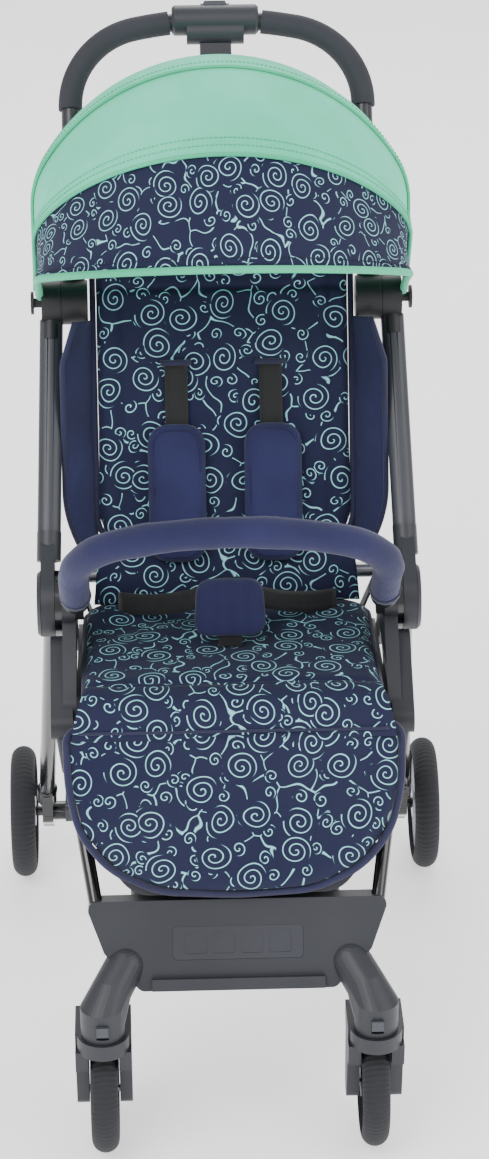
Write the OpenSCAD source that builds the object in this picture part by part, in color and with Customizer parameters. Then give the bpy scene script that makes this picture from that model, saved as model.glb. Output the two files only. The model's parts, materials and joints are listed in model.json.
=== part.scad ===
// Folding baby stroller: tubular frame, swivelling front casters, reclining seat,
// adjustable leg rest, bumper bar and a two-hoop canopy that folds with the handle.
// Y = 0 lies midway between the foremost and rearmost points, Z = 0 is the ground,
// the front of the stroller faces -Y and X runs across it.

/* [Wheels] */
// Diameter of the front caster wheels
front_wheel_d = 130; // [110:2:150]
// Diameter of the rear wheels
rear_wheel_d = 150; // [130:2:180]
// Width of every tyre
tyre_w = 28; // [22:1:34]
// Distance from the front axle back to the rear axle
wheelbase = 540; // [500:5:600]
// Distance between the middles of the two front wheels
front_track = 272; // [260:2:290]
// Distance between the middles of the two rear wheels
rear_track = 460; // [456:2:540]
// Distance that a front wheel trails behind its swivel axis
caster_trail = 28; // [20:1:34]

/* [Frame] */
// Height of the main folding pivot above the ground
pivot_h = 489; // [470:1:520]
// Distance from the front axle back to the main folding pivot
pivot_back = 250; // [235:1:265]
// Lean of the side tubes above the horizontal, in degrees
frame_lean = 54; // [50:1:58]
// Length from the main pivot up to the handle joint
side_tube_len = 316; // [290:1:350]
// Diameter of the side tubes
side_tube_d = 18; // [16:1:20]
// Wall thickness of all the frame tubes
tube_wall = 1.5; // [1:0.25:2.5]
// Half the distance between the inner faces of the hinge housings
housing_in = 156; // [154:1:162]
// Radius of the hinge discs
hinge_r = 35; // [30:1:38]

/* [Handle] */
// Length from the handle joint up to the middle of the grip
handle_len = 303; // [270:1:340]
// Half the width of the handle, to the middle of its tube
handle_half_w = 153.5; // [148:0.5:154]
// Outer diameter of the foam grip
grip_d = 25; // [23:0.5:29]
// Width of the fold release block in the middle of the handle
block_w = 91; // [70:1:110]

/* [Seat] */
// Width of the padded seat base
seat_w = 300; // [280:2:306]
// Length of the padded seat base
seat_len = 225; // [215:1:232]
// Thickness of the seat base pad
seat_pad_t = 22; // [14:1:24]
// Length of the backrest above its hinge
back_len = 440; // [380:2:460]
// Width of the backrest pad
back_w = 268; // [240:2:272]
// Thickness of the backrest pad
back_pad_t = 25; // [15:1:27]
// Lean of the backrest above the horizontal, in degrees
back_lean = 70; // [66:1:74]
// Length of the leg rest
leg_len = 176; // [140:2:184]
// Width of the leg rest at its top
leg_w = 334; // [300:2:340]

/* [Canopy] */
// Radius from the handle joint to the crown of the canopy
canopy_r = 255; // [245:1:262]
// Half the width of the canopy beside the handle joint
canopy_half_w = 194.2; // [192:0.2:200]

/* [Bumper bar] */
// Thickness of the padded bumper bar
bumper_d = 32; // [26:1:34]
// Reach of the bumper bar from its pivot
bumper_len = 195; // [185:1:205]

/* [Basket] */
// Width of the basket
basket_w = 216; // [180:2:236]
// Length of the basket
basket_len = 330; // [280:2:340]
// Depth of the basket
basket_h = 95; // [70:1:110]

/* [Hidden] */
$fn = 48;

run = 0.05;    // radial clearance of a pin that turns in its bore
snug = 0.2;    // clearance between pieces that are fixed to each other
soft = 0.3;    // clearance round a soft piece
side_gap = 0.4; // clearance between discs that turn beside each other

// Places in side view are [distance behind the front axle, height].
function polar(a) = [cos(a), sin(a)];
function unit(v) = v / norm(v);
function across(p, x) = [x, p.x, p.y];

front_r = front_wheel_d / 2;
rear_r = rear_wheel_d / 2;
front_x = front_track / 2;
rear_x = rear_track / 2;
rear_axle_at = [wheelbase, rear_r];
pivot = [pivot_back, pivot_h];
joint = pivot + side_tube_len * polar(frame_lean);
grip_top = joint + handle_len * polar(frame_lean);
foremost = -front_r;
block_reach = 16.8;   // reach of the release block behind the middle of the grip
rearmost = max(grip_top.x + block_reach, wheelbase + rear_r);
mid_y = (foremost + rearmost) / 2;

// Hinge stack beside the main pivot, from the inside outwards
housing_w = 13.6;
rear_hub_w = 7;
upper_hub_w = 14;
cap_w = 3.6;
rear_hub_x = housing_in + housing_w + side_gap;
upper_hub_x = rear_hub_x + rear_hub_w + side_gap;
cap_x = upper_hub_x + upper_hub_w + side_gap;
pivot_pin_r = 6;
side_tube_r = side_tube_d / 2;
side_tube_x = upper_hub_x + upper_hub_w / 2;      // at the main pivot
joint_r = 23;
joint_in = handle_half_w - 14.5;                  // inner face of the handle's joint barrel
joint_mid = handle_half_w + 12.5;                 // face between the two barrels
joint_out = joint_mid + side_gap + 20;            // outer face of the outer barrel
side_tube_joint_x = joint_mid + side_gap + 10;    // side tube's middle at the handle joint
joint_pin_r = 5;

// Seat
seat_rear = pivot + [85, -43];
seat_tilt = 4;
seat_dir = polar(180 - seat_tilt);
seat_front = seat_rear + seat_len * seat_dir;
back_hinge = pivot + [102, -19];
back_bar_r = 8;
back_pin_r = 5;
rail_w = 10;
rail_h = 16;
rail_drop = seat_pad_t + soft + rail_h / 2;       // rail's middle below the seat's top
rail_rear = seat_rear + rail_drop * polar(270 - seat_tilt) + 6 * seat_dir;
rail_front = seat_front + rail_drop * polar(270 - seat_tilt);
leg_hinge = rail_front;
leg_bar_r = 4.5;
leg_lean = 244;

// Front end
tube_top = pivot + 119 * polar(213);
tube_low = [30, 260];
tube_turn = 30;
tube_top_x = 172;
tube_low_x = 140;
tube_oval = [14, 24];
board_foot = [-10, 186];
board_lean = 71;
board_h = 92;
board_t = 30;
swivel = [-caster_trail, 160];
swivel_r = 22;
swivel_pin_r = 6;

// Bumper
bumper_pivot = pivot + [-45, 16];
bumper_lean = 132;
bumper_pin_r = 5;
bumper_tongue_w = 8;

// Canopy: three nested layers that slide under each other
layer_t = 2;
layer_gap = 0.6;
rear_from = 62;
rear_to = 91;
top_from = 89.5;
top_to = 123;
panel_from = 121.5;
panel_to = 154;
rib = 2.4;
canopy_disc_r = 12;

// ---------- shared shapes ----------

module home() {
    translate([0, -mid_y, 0]) children();
}

module both() {
    children();
    mirror([1, 0, 0]) children();
}

module basis(p, ex, ey, ez) {
    multmatrix([
        [ex.x, ey.x, ez.x, p.x],
        [ex.y, ey.y, ez.y, p.y],
        [ex.z, ey.z, ez.z, p.z],
        [0, 0, 0, 1],
    ]) children();
}

// Children drawn with X across, Y along the lean and Z towards its front face
module leaning(p, a) {
    basis([0, p.x, p.y], [1, 0, 0], [0, cos(a), sin(a)], [0, -sin(a), cos(a)]) children();
}

// Children drawn in side view, extruded from x to x + w
module slab(x, w) {
    translate([x, 0, 0]) rotate([90, 0, 90]) linear_extrude(w) children();
}

// Round bar between two points, hollow where bore is given
module rod(p, q, r, bore = 0) {
    ez = unit(q - p);
    ex = unit(cross(ez, abs(ez.x) < 0.9 ? [1, 0, 0] : [0, 1, 0]));
    basis(p, ex, cross(ez, ex), ez)
        difference() {
            cylinder(h = norm(q - p), r = r);
            if (bore > 0) translate([0, 0, -1]) cylinder(h = norm(q - p) + 2, r = bore);
        }
}

// Bar across the stroller at a place in side view
module cross_bar(p, r, x0, x1) {
    translate([x0, p.x, p.y]) rotate([0, 90, 0]) cylinder(h = x1 - x0, r = r);
}

// Outline round two circles of different size
module link(p, rp, q, rq) {
    d = norm(q - p);
    a = atan2(q.y - p.y, q.x - p.x);
    b = acos((rp - rq) / d);
    translate(p) circle(rp);
    translate(q) circle(rq);
    polygon([
        p + rp * polar(a + b), p + rp * polar(a - b),
        q + rq * polar(a - b), q + rq * polar(a + b),
    ]);
}

// Basket-handle arch: straight sides, corners of radius rc and a flatter crown
function crown_r(a, h, y, rc) = (pow(a - rc, 2) + pow(h - y, 2) - rc * rc) / (2 * (h - y - rc));
function corner_turn(a, h, y, rc) = atan2(y - h + crown_r(a, h, y, rc), a - rc);
function half_arch(a, h, y, rc) =
    let (rt = crown_r(a, h, y, rc), turn = corner_turn(a, h, y, rc)) [
        for (i = [0:3]) [a - rc, y] + rc * polar(turn * i / 4),
        for (i = [0:7]) [0, h - rt] + rt * polar(turn + (90 - turn) * i / 8),
    ];

// Tube bent to that arch, with a thin weld bead where two bends meet;
// the crown stays open for an angle of gap each side of its middle
module arch_tube(a, h, start, y, rc, r, bore = 0, gap = 0) {
    rt = crown_r(a, h, y, rc);
    turn = corner_turn(a, h, y, rc);
    both() {
        rod([a, start, 0], [a, y, 0], r, bore);
        translate([a - rc, y, 0]) {
            bead(0, rc, r, bore);
            rotate_extrude(angle = turn) translate([rc, 0]) ring(r, bore);
        }
        translate([0, h - rt, 0]) {
            bead(turn, rt, r, bore);
            if (gap > 0) rotate([0, 0, turn]) rotate_extrude(angle = 90 - turn - gap)
                translate([rt, 0]) ring(r, bore);
        }
    }
    if (gap == 0) translate([0, h - rt, 0]) rotate([0, 0, turn])
        rotate_extrude(angle = 180 - 2 * turn) translate([rt, 0]) ring(r, bore);
}

module bead(a, from_centre, r, bore) {
    rotate([0, 0, a]) translate([from_centre, 0, 0]) rotate([90, 0, 0])
        linear_extrude(2, center = true) ring(r + 0.1, bore > 0 ? bore - 0.1 : 0);
}

module ring(r, bore) {
    difference() {
        circle(r);
        if (bore > 0) circle(bore);
    }
}

// Flat box with rounded corners, exact all over
module tile(w, h, r, t) {
    linear_extrude(t) {
        square([w, h - 2 * r], center = true);
        square([w - 2 * r, h], center = true);
        for (x = [-1, 1], y = [-1, 1])
            translate([x * (w / 2 - r), y * (h / 2 - r)]) circle(r);
    }
}

// ---------- hinge housings and root frame ----------

module front_tube_shape(w, d) {
    p = [tube_top_x, tube_top.x, tube_top.y];
    q = [tube_low_x, tube_low.x, tube_low.y];
    t = unit(q - p);
    out = unit(cross([1, 0, 0], t));
    bend = unit(cross(t, cross(out, t)));
    radius = norm(q - p) / 2 / sin(tube_turn / 2);
    centre = (p + q) / 2 - radius * cos(tube_turn / 2) * bend;
    ez = cross(bend, t);
    basis(centre, bend, t, ez)
        rotate([0, 0, -tube_turn / 2])
            rotate_extrude(angle = tube_turn)
                translate([radius, 0]) {
                    square([d - w, w], center = true);
                    for (s = [-1, 1]) translate([s * (d - w) / 2, 0]) circle(w / 2);
                }
}

module front_tubes() {
    color("#1e1e20") home() both() difference() {
        front_tube_shape(tube_oval.x, tube_oval.y);
        front_tube_shape(tube_oval.x - 2 * tube_wall, tube_oval.y - 2 * tube_wall);
    }
}

module hinge_housings() {
    sleeve_from = pivot + 58 * polar(213);
    sleeve_to = tube_top + 20 * polar(222);
    color("#3e4049") home() both() difference() {
        union() {
            slab(housing_in, housing_w) {
                link(pivot, hinge_r, tube_top, 16);
                link(pivot, hinge_r - 1, bumper_pivot, 12);
                link(pivot, hinge_r - 2, back_hinge, 13);
                link(pivot, hinge_r - 3, rail_rear + 20 * seat_dir, 12);
            }
            slab(tube_top_x - 12, 22) link(sleeve_from, 17, sleeve_to, 15);
        }
        front_tube_shape(tube_oval.x + snug, tube_oval.y + snug);
        cross_bar(pivot, pivot_pin_r + run, housing_in - 1, housing_in + housing_w + 1);
        cross_bar(bumper_pivot, bumper_pin_r + run, housing_in - 1, housing_in + housing_w + 1);
        cross_bar(back_hinge, back_pin_r + run, housing_in - 1, housing_in + housing_w + 1);
    }
}

module pivot_pins() {
    color("#9a9ca0") home() both() {
        cross_bar(pivot, pivot_pin_r, housing_in, cap_x);
        cross_bar(pivot, pivot_pin_r + 4, housing_in - 4, housing_in - snug / 2);
        cross_bar(pivot, pivot_pin_r, housing_in - 2, housing_in + 2);
    }
}

module pivot_caps() {
    color("#3e4049") home() both() translate([cap_x, pivot.x, pivot.y]) rotate([0, 90, 0])
        difference() {
            cylinder(h = cap_w, r1 = hinge_r - 1, r2 = hinge_r - 4);
            translate([0, 0, cap_w - 1]) cylinder(h = 2, r = hinge_r - 12);
        }
}

module seat_frame() {
    color("#3e4049") home() {
        both() slab(housing_in - rail_w, rail_w)
            link(rail_rear, rail_h / 2, rail_front, rail_h / 2 + 0.01);
        cross_bar(leg_hinge, leg_bar_r, rail_w / 2 - housing_in, housing_in - rail_w / 2);
        cross_bar(rail_rear, leg_bar_r, rail_w / 2 - housing_in, housing_in - rail_w / 2);
    }
}

module seat_pad() {
    pad = seat_len + 12;
    color("#23305a") home() leaning(seat_rear, 180 - seat_tilt)
        mirror([0, 0, 1]) translate([0, pad / 2 - 4, -seat_pad_t])
            tile(seat_w, pad, 24, seat_pad_t);
}

module board_outline() {
    offset(r = 9) offset(delta = -9)
        polygon([[-97, 0], [97, 0], [133, 39], [152, board_h], [-152, board_h], [-133, 39]]);
}

module board_block(grow = 0) {
    leaning(board_foot, board_lean) translate([0, 0, -board_t - grow])
        linear_extrude(board_t + 2 * grow) offset(delta = grow) board_outline();
}

module footboard() {
    color("#3e4049") home() difference() {
        union() {
            board_block();
            leaning(board_foot, board_lean) translate([-86, 1, -8]) cube([172, 12, 14]);
        }
        leaning(board_foot, board_lean) translate([0, 48, -3]) tile(130, 34, 5, 10);
        both() front_tube_shape(tube_oval.x + snug, tube_oval.y + snug);
    }
}

module footboard_insert() {
    color("#4a4b55") home() leaning(board_foot, board_lean) translate([0, 48, -3 + snug / 2])
        difference() {
        tile(130 - 2 * snug, 34 - 2 * snug, 5 - snug, 2.6);
        for (i = [-1.5:1.5]) translate([i * 28, 0, 2.1]) tile(22, 22, 3, 1);
    }
}

module front_arm() {
    color("#3e4049") home() difference() {
        union() {
            hull() {
                translate([112, 8, 208]) sphere(20, $fn = 32);
                translate([127, -14, 190]) sphere(20.5, $fn = 32);
            }
            hull() {
                translate([127, -14, 190]) sphere(20.5, $fn = 32);
                translate([front_x, swivel.x, swivel.y]) cylinder(h = 22, r = swivel_r, $fn = 32);
            }
            translate([front_x, swivel.x, swivel.y - 9.5]) cylinder(h = 20, r = swivel_r);
        }
        board_block(snug / 2);
        translate([front_x, swivel.x, swivel.y - 11]) cylinder(h = 37, r = swivel_pin_r + run);
        translate([front_x, swivel.x - swivel_r - 1, swivel.y + 4])
            cube([12.4, 12, 16.4], center = true);
    }
}
module front_arm_left() { mirror([1, 0, 0]) front_arm(); }
module front_arm_right() { front_arm(); }

module caster_lock() {
    color("#5b6068") home() translate([front_x, swivel.x - swivel_r + 0.6, swivel.y + 6.4])
        cube([12, 7.6, 11], center = true);
}
module caster_lock_left() { mirror([1, 0, 0]) caster_lock(); }
module caster_lock_right() { caster_lock(); }

// ---------- basket ----------

basket_front = [62, 205];
basket_mid = basket_front.x + basket_len / 2;
basket_rim = basket_front.y + basket_h;
basket_wire_r = 4;
basket_wire_z = basket_rim + basket_wire_r + soft;

module basket() {
    color("#141416") home() translate([0, basket_mid, basket_front.y]) difference() {
        tile(basket_w, basket_len, 30, basket_h);
        translate([0, 0, 2.5]) tile(basket_w - 5, basket_len - 5, 27.5, basket_h);
    }
}

module basket_frame() {
    x = basket_w / 2 - 4;
    rear = basket_front.x + basket_len - 4;
    front = basket_front.x + 1;
    reach = tube_low_x + (tube_top_x - tube_low_x) * (basket_wire_z - tube_low.y)
        / (tube_top.y - tube_low.y)
        - tube_oval.x / 2 - 0.9;
    color("#1e1e20") home() {
        rod([-reach, front, basket_wire_z], [reach, front, basket_wire_z], basket_wire_r);
        both() rod([x, front, basket_wire_z], [x, rear, basket_wire_z], basket_wire_r);
        both() translate([x, rear, basket_wire_z]) sphere(basket_wire_r);
        rod([-x, rear, basket_wire_z], [x, rear, basket_wire_z], basket_wire_r);
    }
}

module basket_straps() {
    low = [basket_w / 2 - 4, basket_front.x + basket_len - 16,
        basket_wire_z + basket_wire_r + soft];
    high = [housing_in - 1.4, back_hinge.x - 16, back_hinge.y - 6];
    color("#141416") home() both() hull() {
        translate(low) translate([-1, -9, 0]) cube([2, 18, 3]);
        translate(high) translate([-1, -7, -6]) cube([2, 14, 12]);
    }
}

// ---------- upper frame ----------

side_low = across(pivot, side_tube_x);
side_high = across(joint, side_tube_joint_x);
side_dir = unit(side_high - side_low);

module upper_hubs() {
    sleeve_len = 74;
    color("#3e4049") home() both() difference() {
        union() {
            slab(upper_hub_x, upper_hub_w)
                link(pivot, hinge_r - 1, pivot + 52 * polar(frame_lean), 14);
            rod(side_low + 44 * side_dir, side_low + sleeve_len * side_dir, side_tube_r + 3.5);
        }
        rod(side_low + 48 * side_dir, side_low + (sleeve_len + 4) * side_dir,
            side_tube_r + snug / 2);
        cross_bar(pivot, pivot_pin_r + run, upper_hub_x - 1, cap_x);
    }
}

module side_tubes() {
    color("#54565f") home() both() difference() {
        rod(side_low + 50 * side_dir, side_high - (joint_r - 6) * side_dir, side_tube_r,
            side_tube_r - tube_wall);
        cross_bar(joint, joint_r - 4 + snug, joint_mid, joint_out + 4);
    }
}

module canopy_joints() {
    color("#2a2b30") home() both() difference() {
        union() {
            cross_bar(joint, joint_r, joint_mid + side_gap, joint_out);
            rod(side_high - 40 * side_dir, side_high - (joint_r - 8) * side_dir, side_tube_r + 1.2);
        }
        rod(side_high - 50 * side_dir, side_high - (joint_r - 7) * side_dir,
            side_tube_r + snug / 2);
        cross_bar(joint, joint_pin_r + run, joint_mid - 1, joint_out + 1);
    }
}

// outer face of each layer
layer_x = [for (i = [0:2]) canopy_half_w - (2 - i) * (layer_t + layer_gap)];
layer_r = [for (i = [0:2]) canopy_r - (2 - i) * (layer_t + layer_gap)];
pin_head_x = canopy_half_w + layer_gap;

module canopy_pins() {
    color("#2a2b30") home() both() {
        cross_bar(joint, joint_pin_r, joint_in + 2, pin_head_x + 1);
        cross_bar(joint, canopy_disc_r, pin_head_x, pin_head_x + 3);
    }
}

// ---------- handle ----------

handle_turn_y = handle_len - 92;
handle_rc = 85;
handle_tube_r = 9.5;
handle_crown_r = crown_r(handle_half_w, handle_len, handle_turn_y, handle_rc);
block_gap = asin((block_w / 2 + 3.2) / handle_crown_r);
grip_from = handle_turn_y - 4;

module handle_arch(r, bore, start, gap) {
    leaning(joint, frame_lean)
        arch_tube(handle_half_w, handle_len, start, handle_turn_y, handle_rc, r, bore, gap);
}

module handle_hubs() {
    color("#2a2b30") home() both() difference() {
        union() {
            cross_bar(joint, joint_r, joint_in, joint_mid);
            leaning(joint, frame_lean)
                rod([handle_half_w, 15, 0], [handle_half_w, 44, 0], handle_tube_r + 2.6);
        }
        leaning(joint, frame_lean)
            rod([handle_half_w, 17, 0], [handle_half_w, 50, 0], handle_tube_r + snug / 2);
        cross_bar(joint, joint_pin_r + run, joint_in - 1, joint_mid + 1);
    }
}

module handle_tube() {
    color("#3a3b42") home() handle_arch(handle_tube_r, handle_tube_r - tube_wall, 18, 0);
}

module handle_grips() {
    color("#3a3b42") home()
        handle_arch(grip_d / 2, handle_tube_r + snug + run, grip_from, block_gap);
}

module handle_block() {
    color("#4a4b55") home() difference() {
        leaning(joint, frame_lean) {
            translate([-block_w / 2, handle_len, 0]) rotate([0, 90, 0]) {
                translate([0, 0, 3]) cylinder(h = block_w - 6, r = 16);
                cylinder(h = 3, r1 = 13.5, r2 = 16);
                translate([0, 0, block_w - 3]) cylinder(h = 3, r1 = 16, r2 = 13.5);
            }
            translate([-30, handle_len - 13, 0]) rotate([0, 90, 0]) cylinder(h = 60, r = 13);
        }
        leaning(joint, frame_lean) {
            translate([0, handle_len - handle_crown_r, 0]) rotate([0, 0, 90 - 2 * block_gap])
                rotate_extrude(angle = 4 * block_gap) translate([handle_crown_r, 0])
                    circle(handle_tube_r + snug / 2);
            translate([0, handle_len + 13, 0]) cube([30.4, 9, 14.4], center = true);
        }
    }
}

module release_button() {
    color("#5b6068") home() leaning(joint, frame_lean) translate([0, handle_len + 16, 0])
        difference() {
            cube([30, 6, 14], center = true);
            for (s = [-1, 1]) translate([s * 17, 4, 0]) rotate([0, 0, s * 30])
                cube([12, 4, 20], center = true);
        }
}

// Flat tongue that steadies the block, short enough to clear the folded backrest
module handle_tongue() {
    tongue_w = 33;
    tongue_from = 250;
    top = handle_len - 26 - snug;
    color("#3a3b42") home() leaning(joint, frame_lean)
        translate([-tongue_w / 2, tongue_from, -3.5]) cube([tongue_w, top - tongue_from, 7]);
}

// ---------- canopy ----------

module fan(a0, a1) {
    basis([0, joint.x, joint.y], [0, cos(a0), sin(a0)], [0, -sin(a0), cos(a0)], [1, 0, 0])
        rotate_extrude(angle = a1 - a0) children();
}

canopy_turn_y = 105;
canopy_rc = 92;

// Whole arch from its right foot over the crown to its left foot
function full_arch(a, h, foot, y, rc) =
    let (half = [[a, foot], each half_arch(a, h, y, rc)]) [
        each half,
        [0, h],
        for (k = [len(half) - 1:-1:0]) [-half[k].x, half[k].y],
    ];

// Section of one layer of the canopy: [radius from the joint, distance across]
module layer_section(i) {
    foot = canopy_disc_r - 1;
    outer = full_arch(layer_x[i], layer_r[i], foot, canopy_turn_y, canopy_rc);
    inner = full_arch(layer_x[i] - layer_t, layer_r[i] - layer_t, foot, canopy_turn_y,
        canopy_rc - layer_t);
    polygon([for (p = outer) [p.y, p.x], for (k = [len(inner) - 1:-1:0]) [inner[k].y, inner[k].x]]);
}

module canopy_disc(i) {
    both() difference() {
        cross_bar(joint, canopy_disc_r, layer_x[i] - layer_t, layer_x[i]);
        cross_bar(joint, joint_pin_r + run, layer_x[i] - layer_t - 1, layer_x[i] + 1);
    }
}

module canopy_rear() {
    color("#b6efdf") home() {
        fan(rear_from, rear_to) layer_section(2);
        canopy_disc(2);
    }
}

module canopy_mid_hoop() {
    color("#7eddbb") home() {
        fan(top_to + 0.1, top_to + rib) layer_section(1);
        canopy_disc(1);
    }
}

module canopy_top() {
    color("#b6efdf") home() difference() {
        fan(top_from, top_to) layer_section(1);
        both() cross_bar(joint, canopy_disc_r + soft, layer_x[1] - layer_t - 1, layer_x[1] + 1);
    }
}

module canopy_front_hoop() {
    color("#7eddbb") home() {
        fan(panel_to + 0.1, panel_to + rib) layer_section(0);
        canopy_disc(0);
    }
}

module canopy_front_panel() {
    color("#2a2f55") home() difference() {
        fan(panel_from, panel_to) layer_section(0);
        both() cross_bar(joint, canopy_disc_r + soft, layer_x[0] - layer_t - 1, layer_x[0] + 1);
    }
}

// ---------- rear frame and brake ----------

leg_dir = unit(rear_axle_at - pivot);
leg_run = norm(rear_axle_at - pivot);
leg_high = across(pivot + 52 * leg_dir, rear_hub_x + 12);
leg_low = across(pivot + (leg_run - 34) * leg_dir, rear_x - tyre_w / 2 - 13);
leg_r = 9;
axle_r = 6;
axle_tube_r = 11;
brake_at = rear_axle_at + [-34, 14];
brake_r = 4.5;
bracket_x = rear_x - tyre_w / 2 - 20;
bracket_w = 12;

module rear_leg() {
    color("#1e1e20") home() difference() {
        union() {
            slab(rear_hub_x, rear_hub_w) link(pivot, hinge_r - 1, pivot + 62 * leg_dir, 11);
            rod(leg_high - 8 * across(leg_dir, 0), leg_low, leg_r);
        }
        rod(leg_high + 4 * across(leg_dir, 0), leg_low + 4 * across(leg_dir, 0.03),
            leg_r - tube_wall);
        cross_bar(pivot, pivot_pin_r + run, rear_hub_x - 1, rear_hub_x + rear_hub_w + 1);
    }
}
module rear_leg_left() { mirror([1, 0, 0]) rear_leg(); }
module rear_leg_right() { rear_leg(); }

module rear_brackets() {
    leg_axis = unit(leg_low - leg_high);
    sleeve_top = leg_low - 26 * leg_axis;
    color("#1e1e20") home() both() difference() {
        union() {
            slab(bracket_x, bracket_w) {
                link(rear_axle_at, 18, pivot + (leg_run - 52) * leg_dir, 13);
                link(rear_axle_at, 17, brake_at, 9);
                link(brake_at, 8.5, pivot + (leg_run - 52) * leg_dir, 12);
            }
            rod(sleeve_top, leg_low, leg_r + 2.4);
        }
        rod(sleeve_top - 34 * leg_axis, leg_low + snug * leg_axis, leg_r + snug / 2);
        cross_bar(rear_axle_at, axle_r + snug / 2, bracket_x - 1, bracket_x + bracket_w + 1);
        cross_bar(brake_at, brake_r + run, bracket_x - 1, bracket_x + bracket_w + 1);
    }
}

module rear_axle() {
    color("#1e1e20") home() {
        cross_bar(rear_axle_at, axle_tube_r, snug - bracket_x, bracket_x - snug);
        cross_bar(rear_axle_at, axle_r, -rear_x - tyre_w / 2 + 4, rear_x + tyre_w / 2 - 4);
    }
}

module brake_pedal() {
    pedal_x = -rear_x + tyre_w / 2 + 34;
    color("#3e4049") home() {
        cross_bar(brake_at, brake_r, -bracket_x - bracket_w + 0.4, bracket_x + bracket_w - 0.4);
        slab(pedal_x, 42) {
            link(brake_at, 8, brake_at + [24, 16], 4);
            link(brake_at, 8, brake_at + [-10, 14], 3.5);
        }
    }
}

// ---------- wheels ----------

module tyre(r, w) {
    rotate([0, 90, 0]) rotate_extrude() difference() {
        union() {
            translate([r - w / 2, 0]) circle(w / 2);
            translate([r - 13 - 0.5, -w / 2 + 4]) square([8, w - 8]);
        }
        translate([r - 13 - w, -w]) square([w, 2 * w]);
    }
}

// Rim with spokes; the hub runs on an axle of radius bore
module rim(r, w, bore, spokes) {
    seat = r - 13 - snug;
    rotate([0, 90, 0]) difference() {
        union() {
            rotate_extrude() {
                translate([seat - 7, -w / 2 + 5]) square([7, w - 10]);
                translate([bore, -w / 2 + 1]) square([11, w - 2]);
            }
            for (i = [0:spokes - 1]) rotate([0, 0, i * 360 / spokes])
                translate([bore + 9, -6, -w / 2 + 8]) cube([seat - bore - 13, 12, w - 16]);
        }
        translate([0, 0, -w]) cylinder(h = 2 * w, r = bore + run);
    }
}

module rear_tyre() {
    color("#3a3b40") home() translate(across(rear_axle_at, rear_x)) tyre(rear_r, tyre_w);
}
module rear_tyre_left() { mirror([1, 0, 0]) rear_tyre(); }
module rear_tyre_right() { rear_tyre(); }
module rear_rim() {
    color("#c9c9d2") home() translate(across(rear_axle_at, rear_x))
        rim(rear_r, tyre_w, axle_r, 5);
}
module rear_rim_left() { mirror([1, 0, 0]) rear_rim(); }
module rear_rim_right() { rear_rim(); }

front_axle_at = [0, front_r];
front_axle_r = 4;
fork_gap = tyre_w + 3;
fork_w = 56;
crown_z = front_wheel_d + 3.5;

module front_tyre() {
    color("#3a3b40") home() translate(across(front_axle_at, front_x)) tyre(front_r, tyre_w);
}
module front_tyre_left() { mirror([1, 0, 0]) front_tyre(); }
module front_tyre_right() { front_tyre(); }
module front_rim() {
    color("#4a4b55") home() translate(across(front_axle_at, front_x))
        rim(front_r, tyre_w, front_axle_r, 6);
}
module front_rim_left() { mirror([1, 0, 0]) front_rim(); }
module front_rim_right() { front_rim(); }

module front_axle() {
    color("#9a9ca0") home()
        cross_bar(front_axle_at, front_axle_r, front_x - fork_w / 2 + 2, front_x + fork_w / 2 - 2);
}
module front_axle_left() { mirror([1, 0, 0]) front_axle(); }
module front_axle_right() { front_axle(); }

module caster_fork() {
    crown = swivel.y - 9.5 - side_gap - crown_z;
    cheek = (fork_w - fork_gap) / 2;
    color("#3e4049") home() difference() {
        union() {
            translate([front_x, 0, crown_z]) linear_extrude(crown) intersection() {
                union() {
                    translate([0, swivel.x]) circle(swivel_r + 4);
                    translate([-fork_w / 2, swivel.x]) square([fork_w, caster_trail + 22]);
                }
                translate([-fork_w / 2, -100]) square([fork_w, 200]);
            }
            for (x = [-fork_w / 2, fork_gap / 2]) translate([front_x, 0, 0])
                slab(x, cheek) {
                    link(front_axle_at, 14, [-8, crown_z - 6], 20);
                    polygon([[-40, crown_z + 1], [-36, crown_z - 24], [0, crown_z - 30],
                        [20, crown_z + 1]]);
                }
            translate([front_x, swivel.x, crown_z + 4])
                cylinder(h = swivel.y + 24 - crown_z - 4, r = swivel_pin_r);
        }
        cross_bar(front_axle_at, front_axle_r + snug / 2, front_x - fork_w / 2 + 2,
            front_x + fork_w / 2 - 2);
        translate([0, -100, crown_z + crown]) difference() {
            translate([front_x - 60, 0, 0]) cube([120, 200, 20]);
            translate([front_x, 100 + swivel.x, -1]) cylinder(h = 60, r = swivel_pin_r);
        }
    }
}
module caster_fork_left() { mirror([1, 0, 0]) caster_fork(); }
module caster_fork_right() { caster_fork(); }

// ---------- backrest and harness ----------

frame_bar_r = 6;
back_frame_x = back_w / 2 - 12;
pad_from = 26;
pad_face = frame_bar_r + soft + back_pad_t;       // pad's front face in front of the hinge line

module back_hinge_bar() {
    color("#9a9ca0") home() {
        cross_bar(back_hinge, back_bar_r, side_gap - housing_in, housing_in - side_gap);
        cross_bar(back_hinge, back_pin_r, -housing_in - housing_w + 1, housing_in + housing_w - 1);
    }
}

module seat_back_frame() {
    color("#3e4049") home() difference() {
        union() {
            leaning(back_hinge, back_lean) {
                arch_tube(back_frame_x, back_len - 8, back_bar_r + 2.5, back_len - 70, 55,
                    frame_bar_r);
                rod([-back_frame_x, back_len / 2, 0], [back_frame_x, back_len / 2, 0],
                    frame_bar_r - 1.5);
            }
            both() cross_bar(back_hinge, back_bar_r + 5, back_frame_x - 12, back_frame_x + 12);
        }
        both() cross_bar(back_hinge, back_bar_r + run, back_frame_x - 14, back_frame_x + 14);
    }
}

module seat_back_pad() {
    h = back_len - pad_from;
    color("#23305a") home() leaning(back_hinge, back_lean)
        translate([0, pad_from + h / 2, frame_bar_r + soft]) tile(back_w, h, 40, back_pad_t);
}

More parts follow.
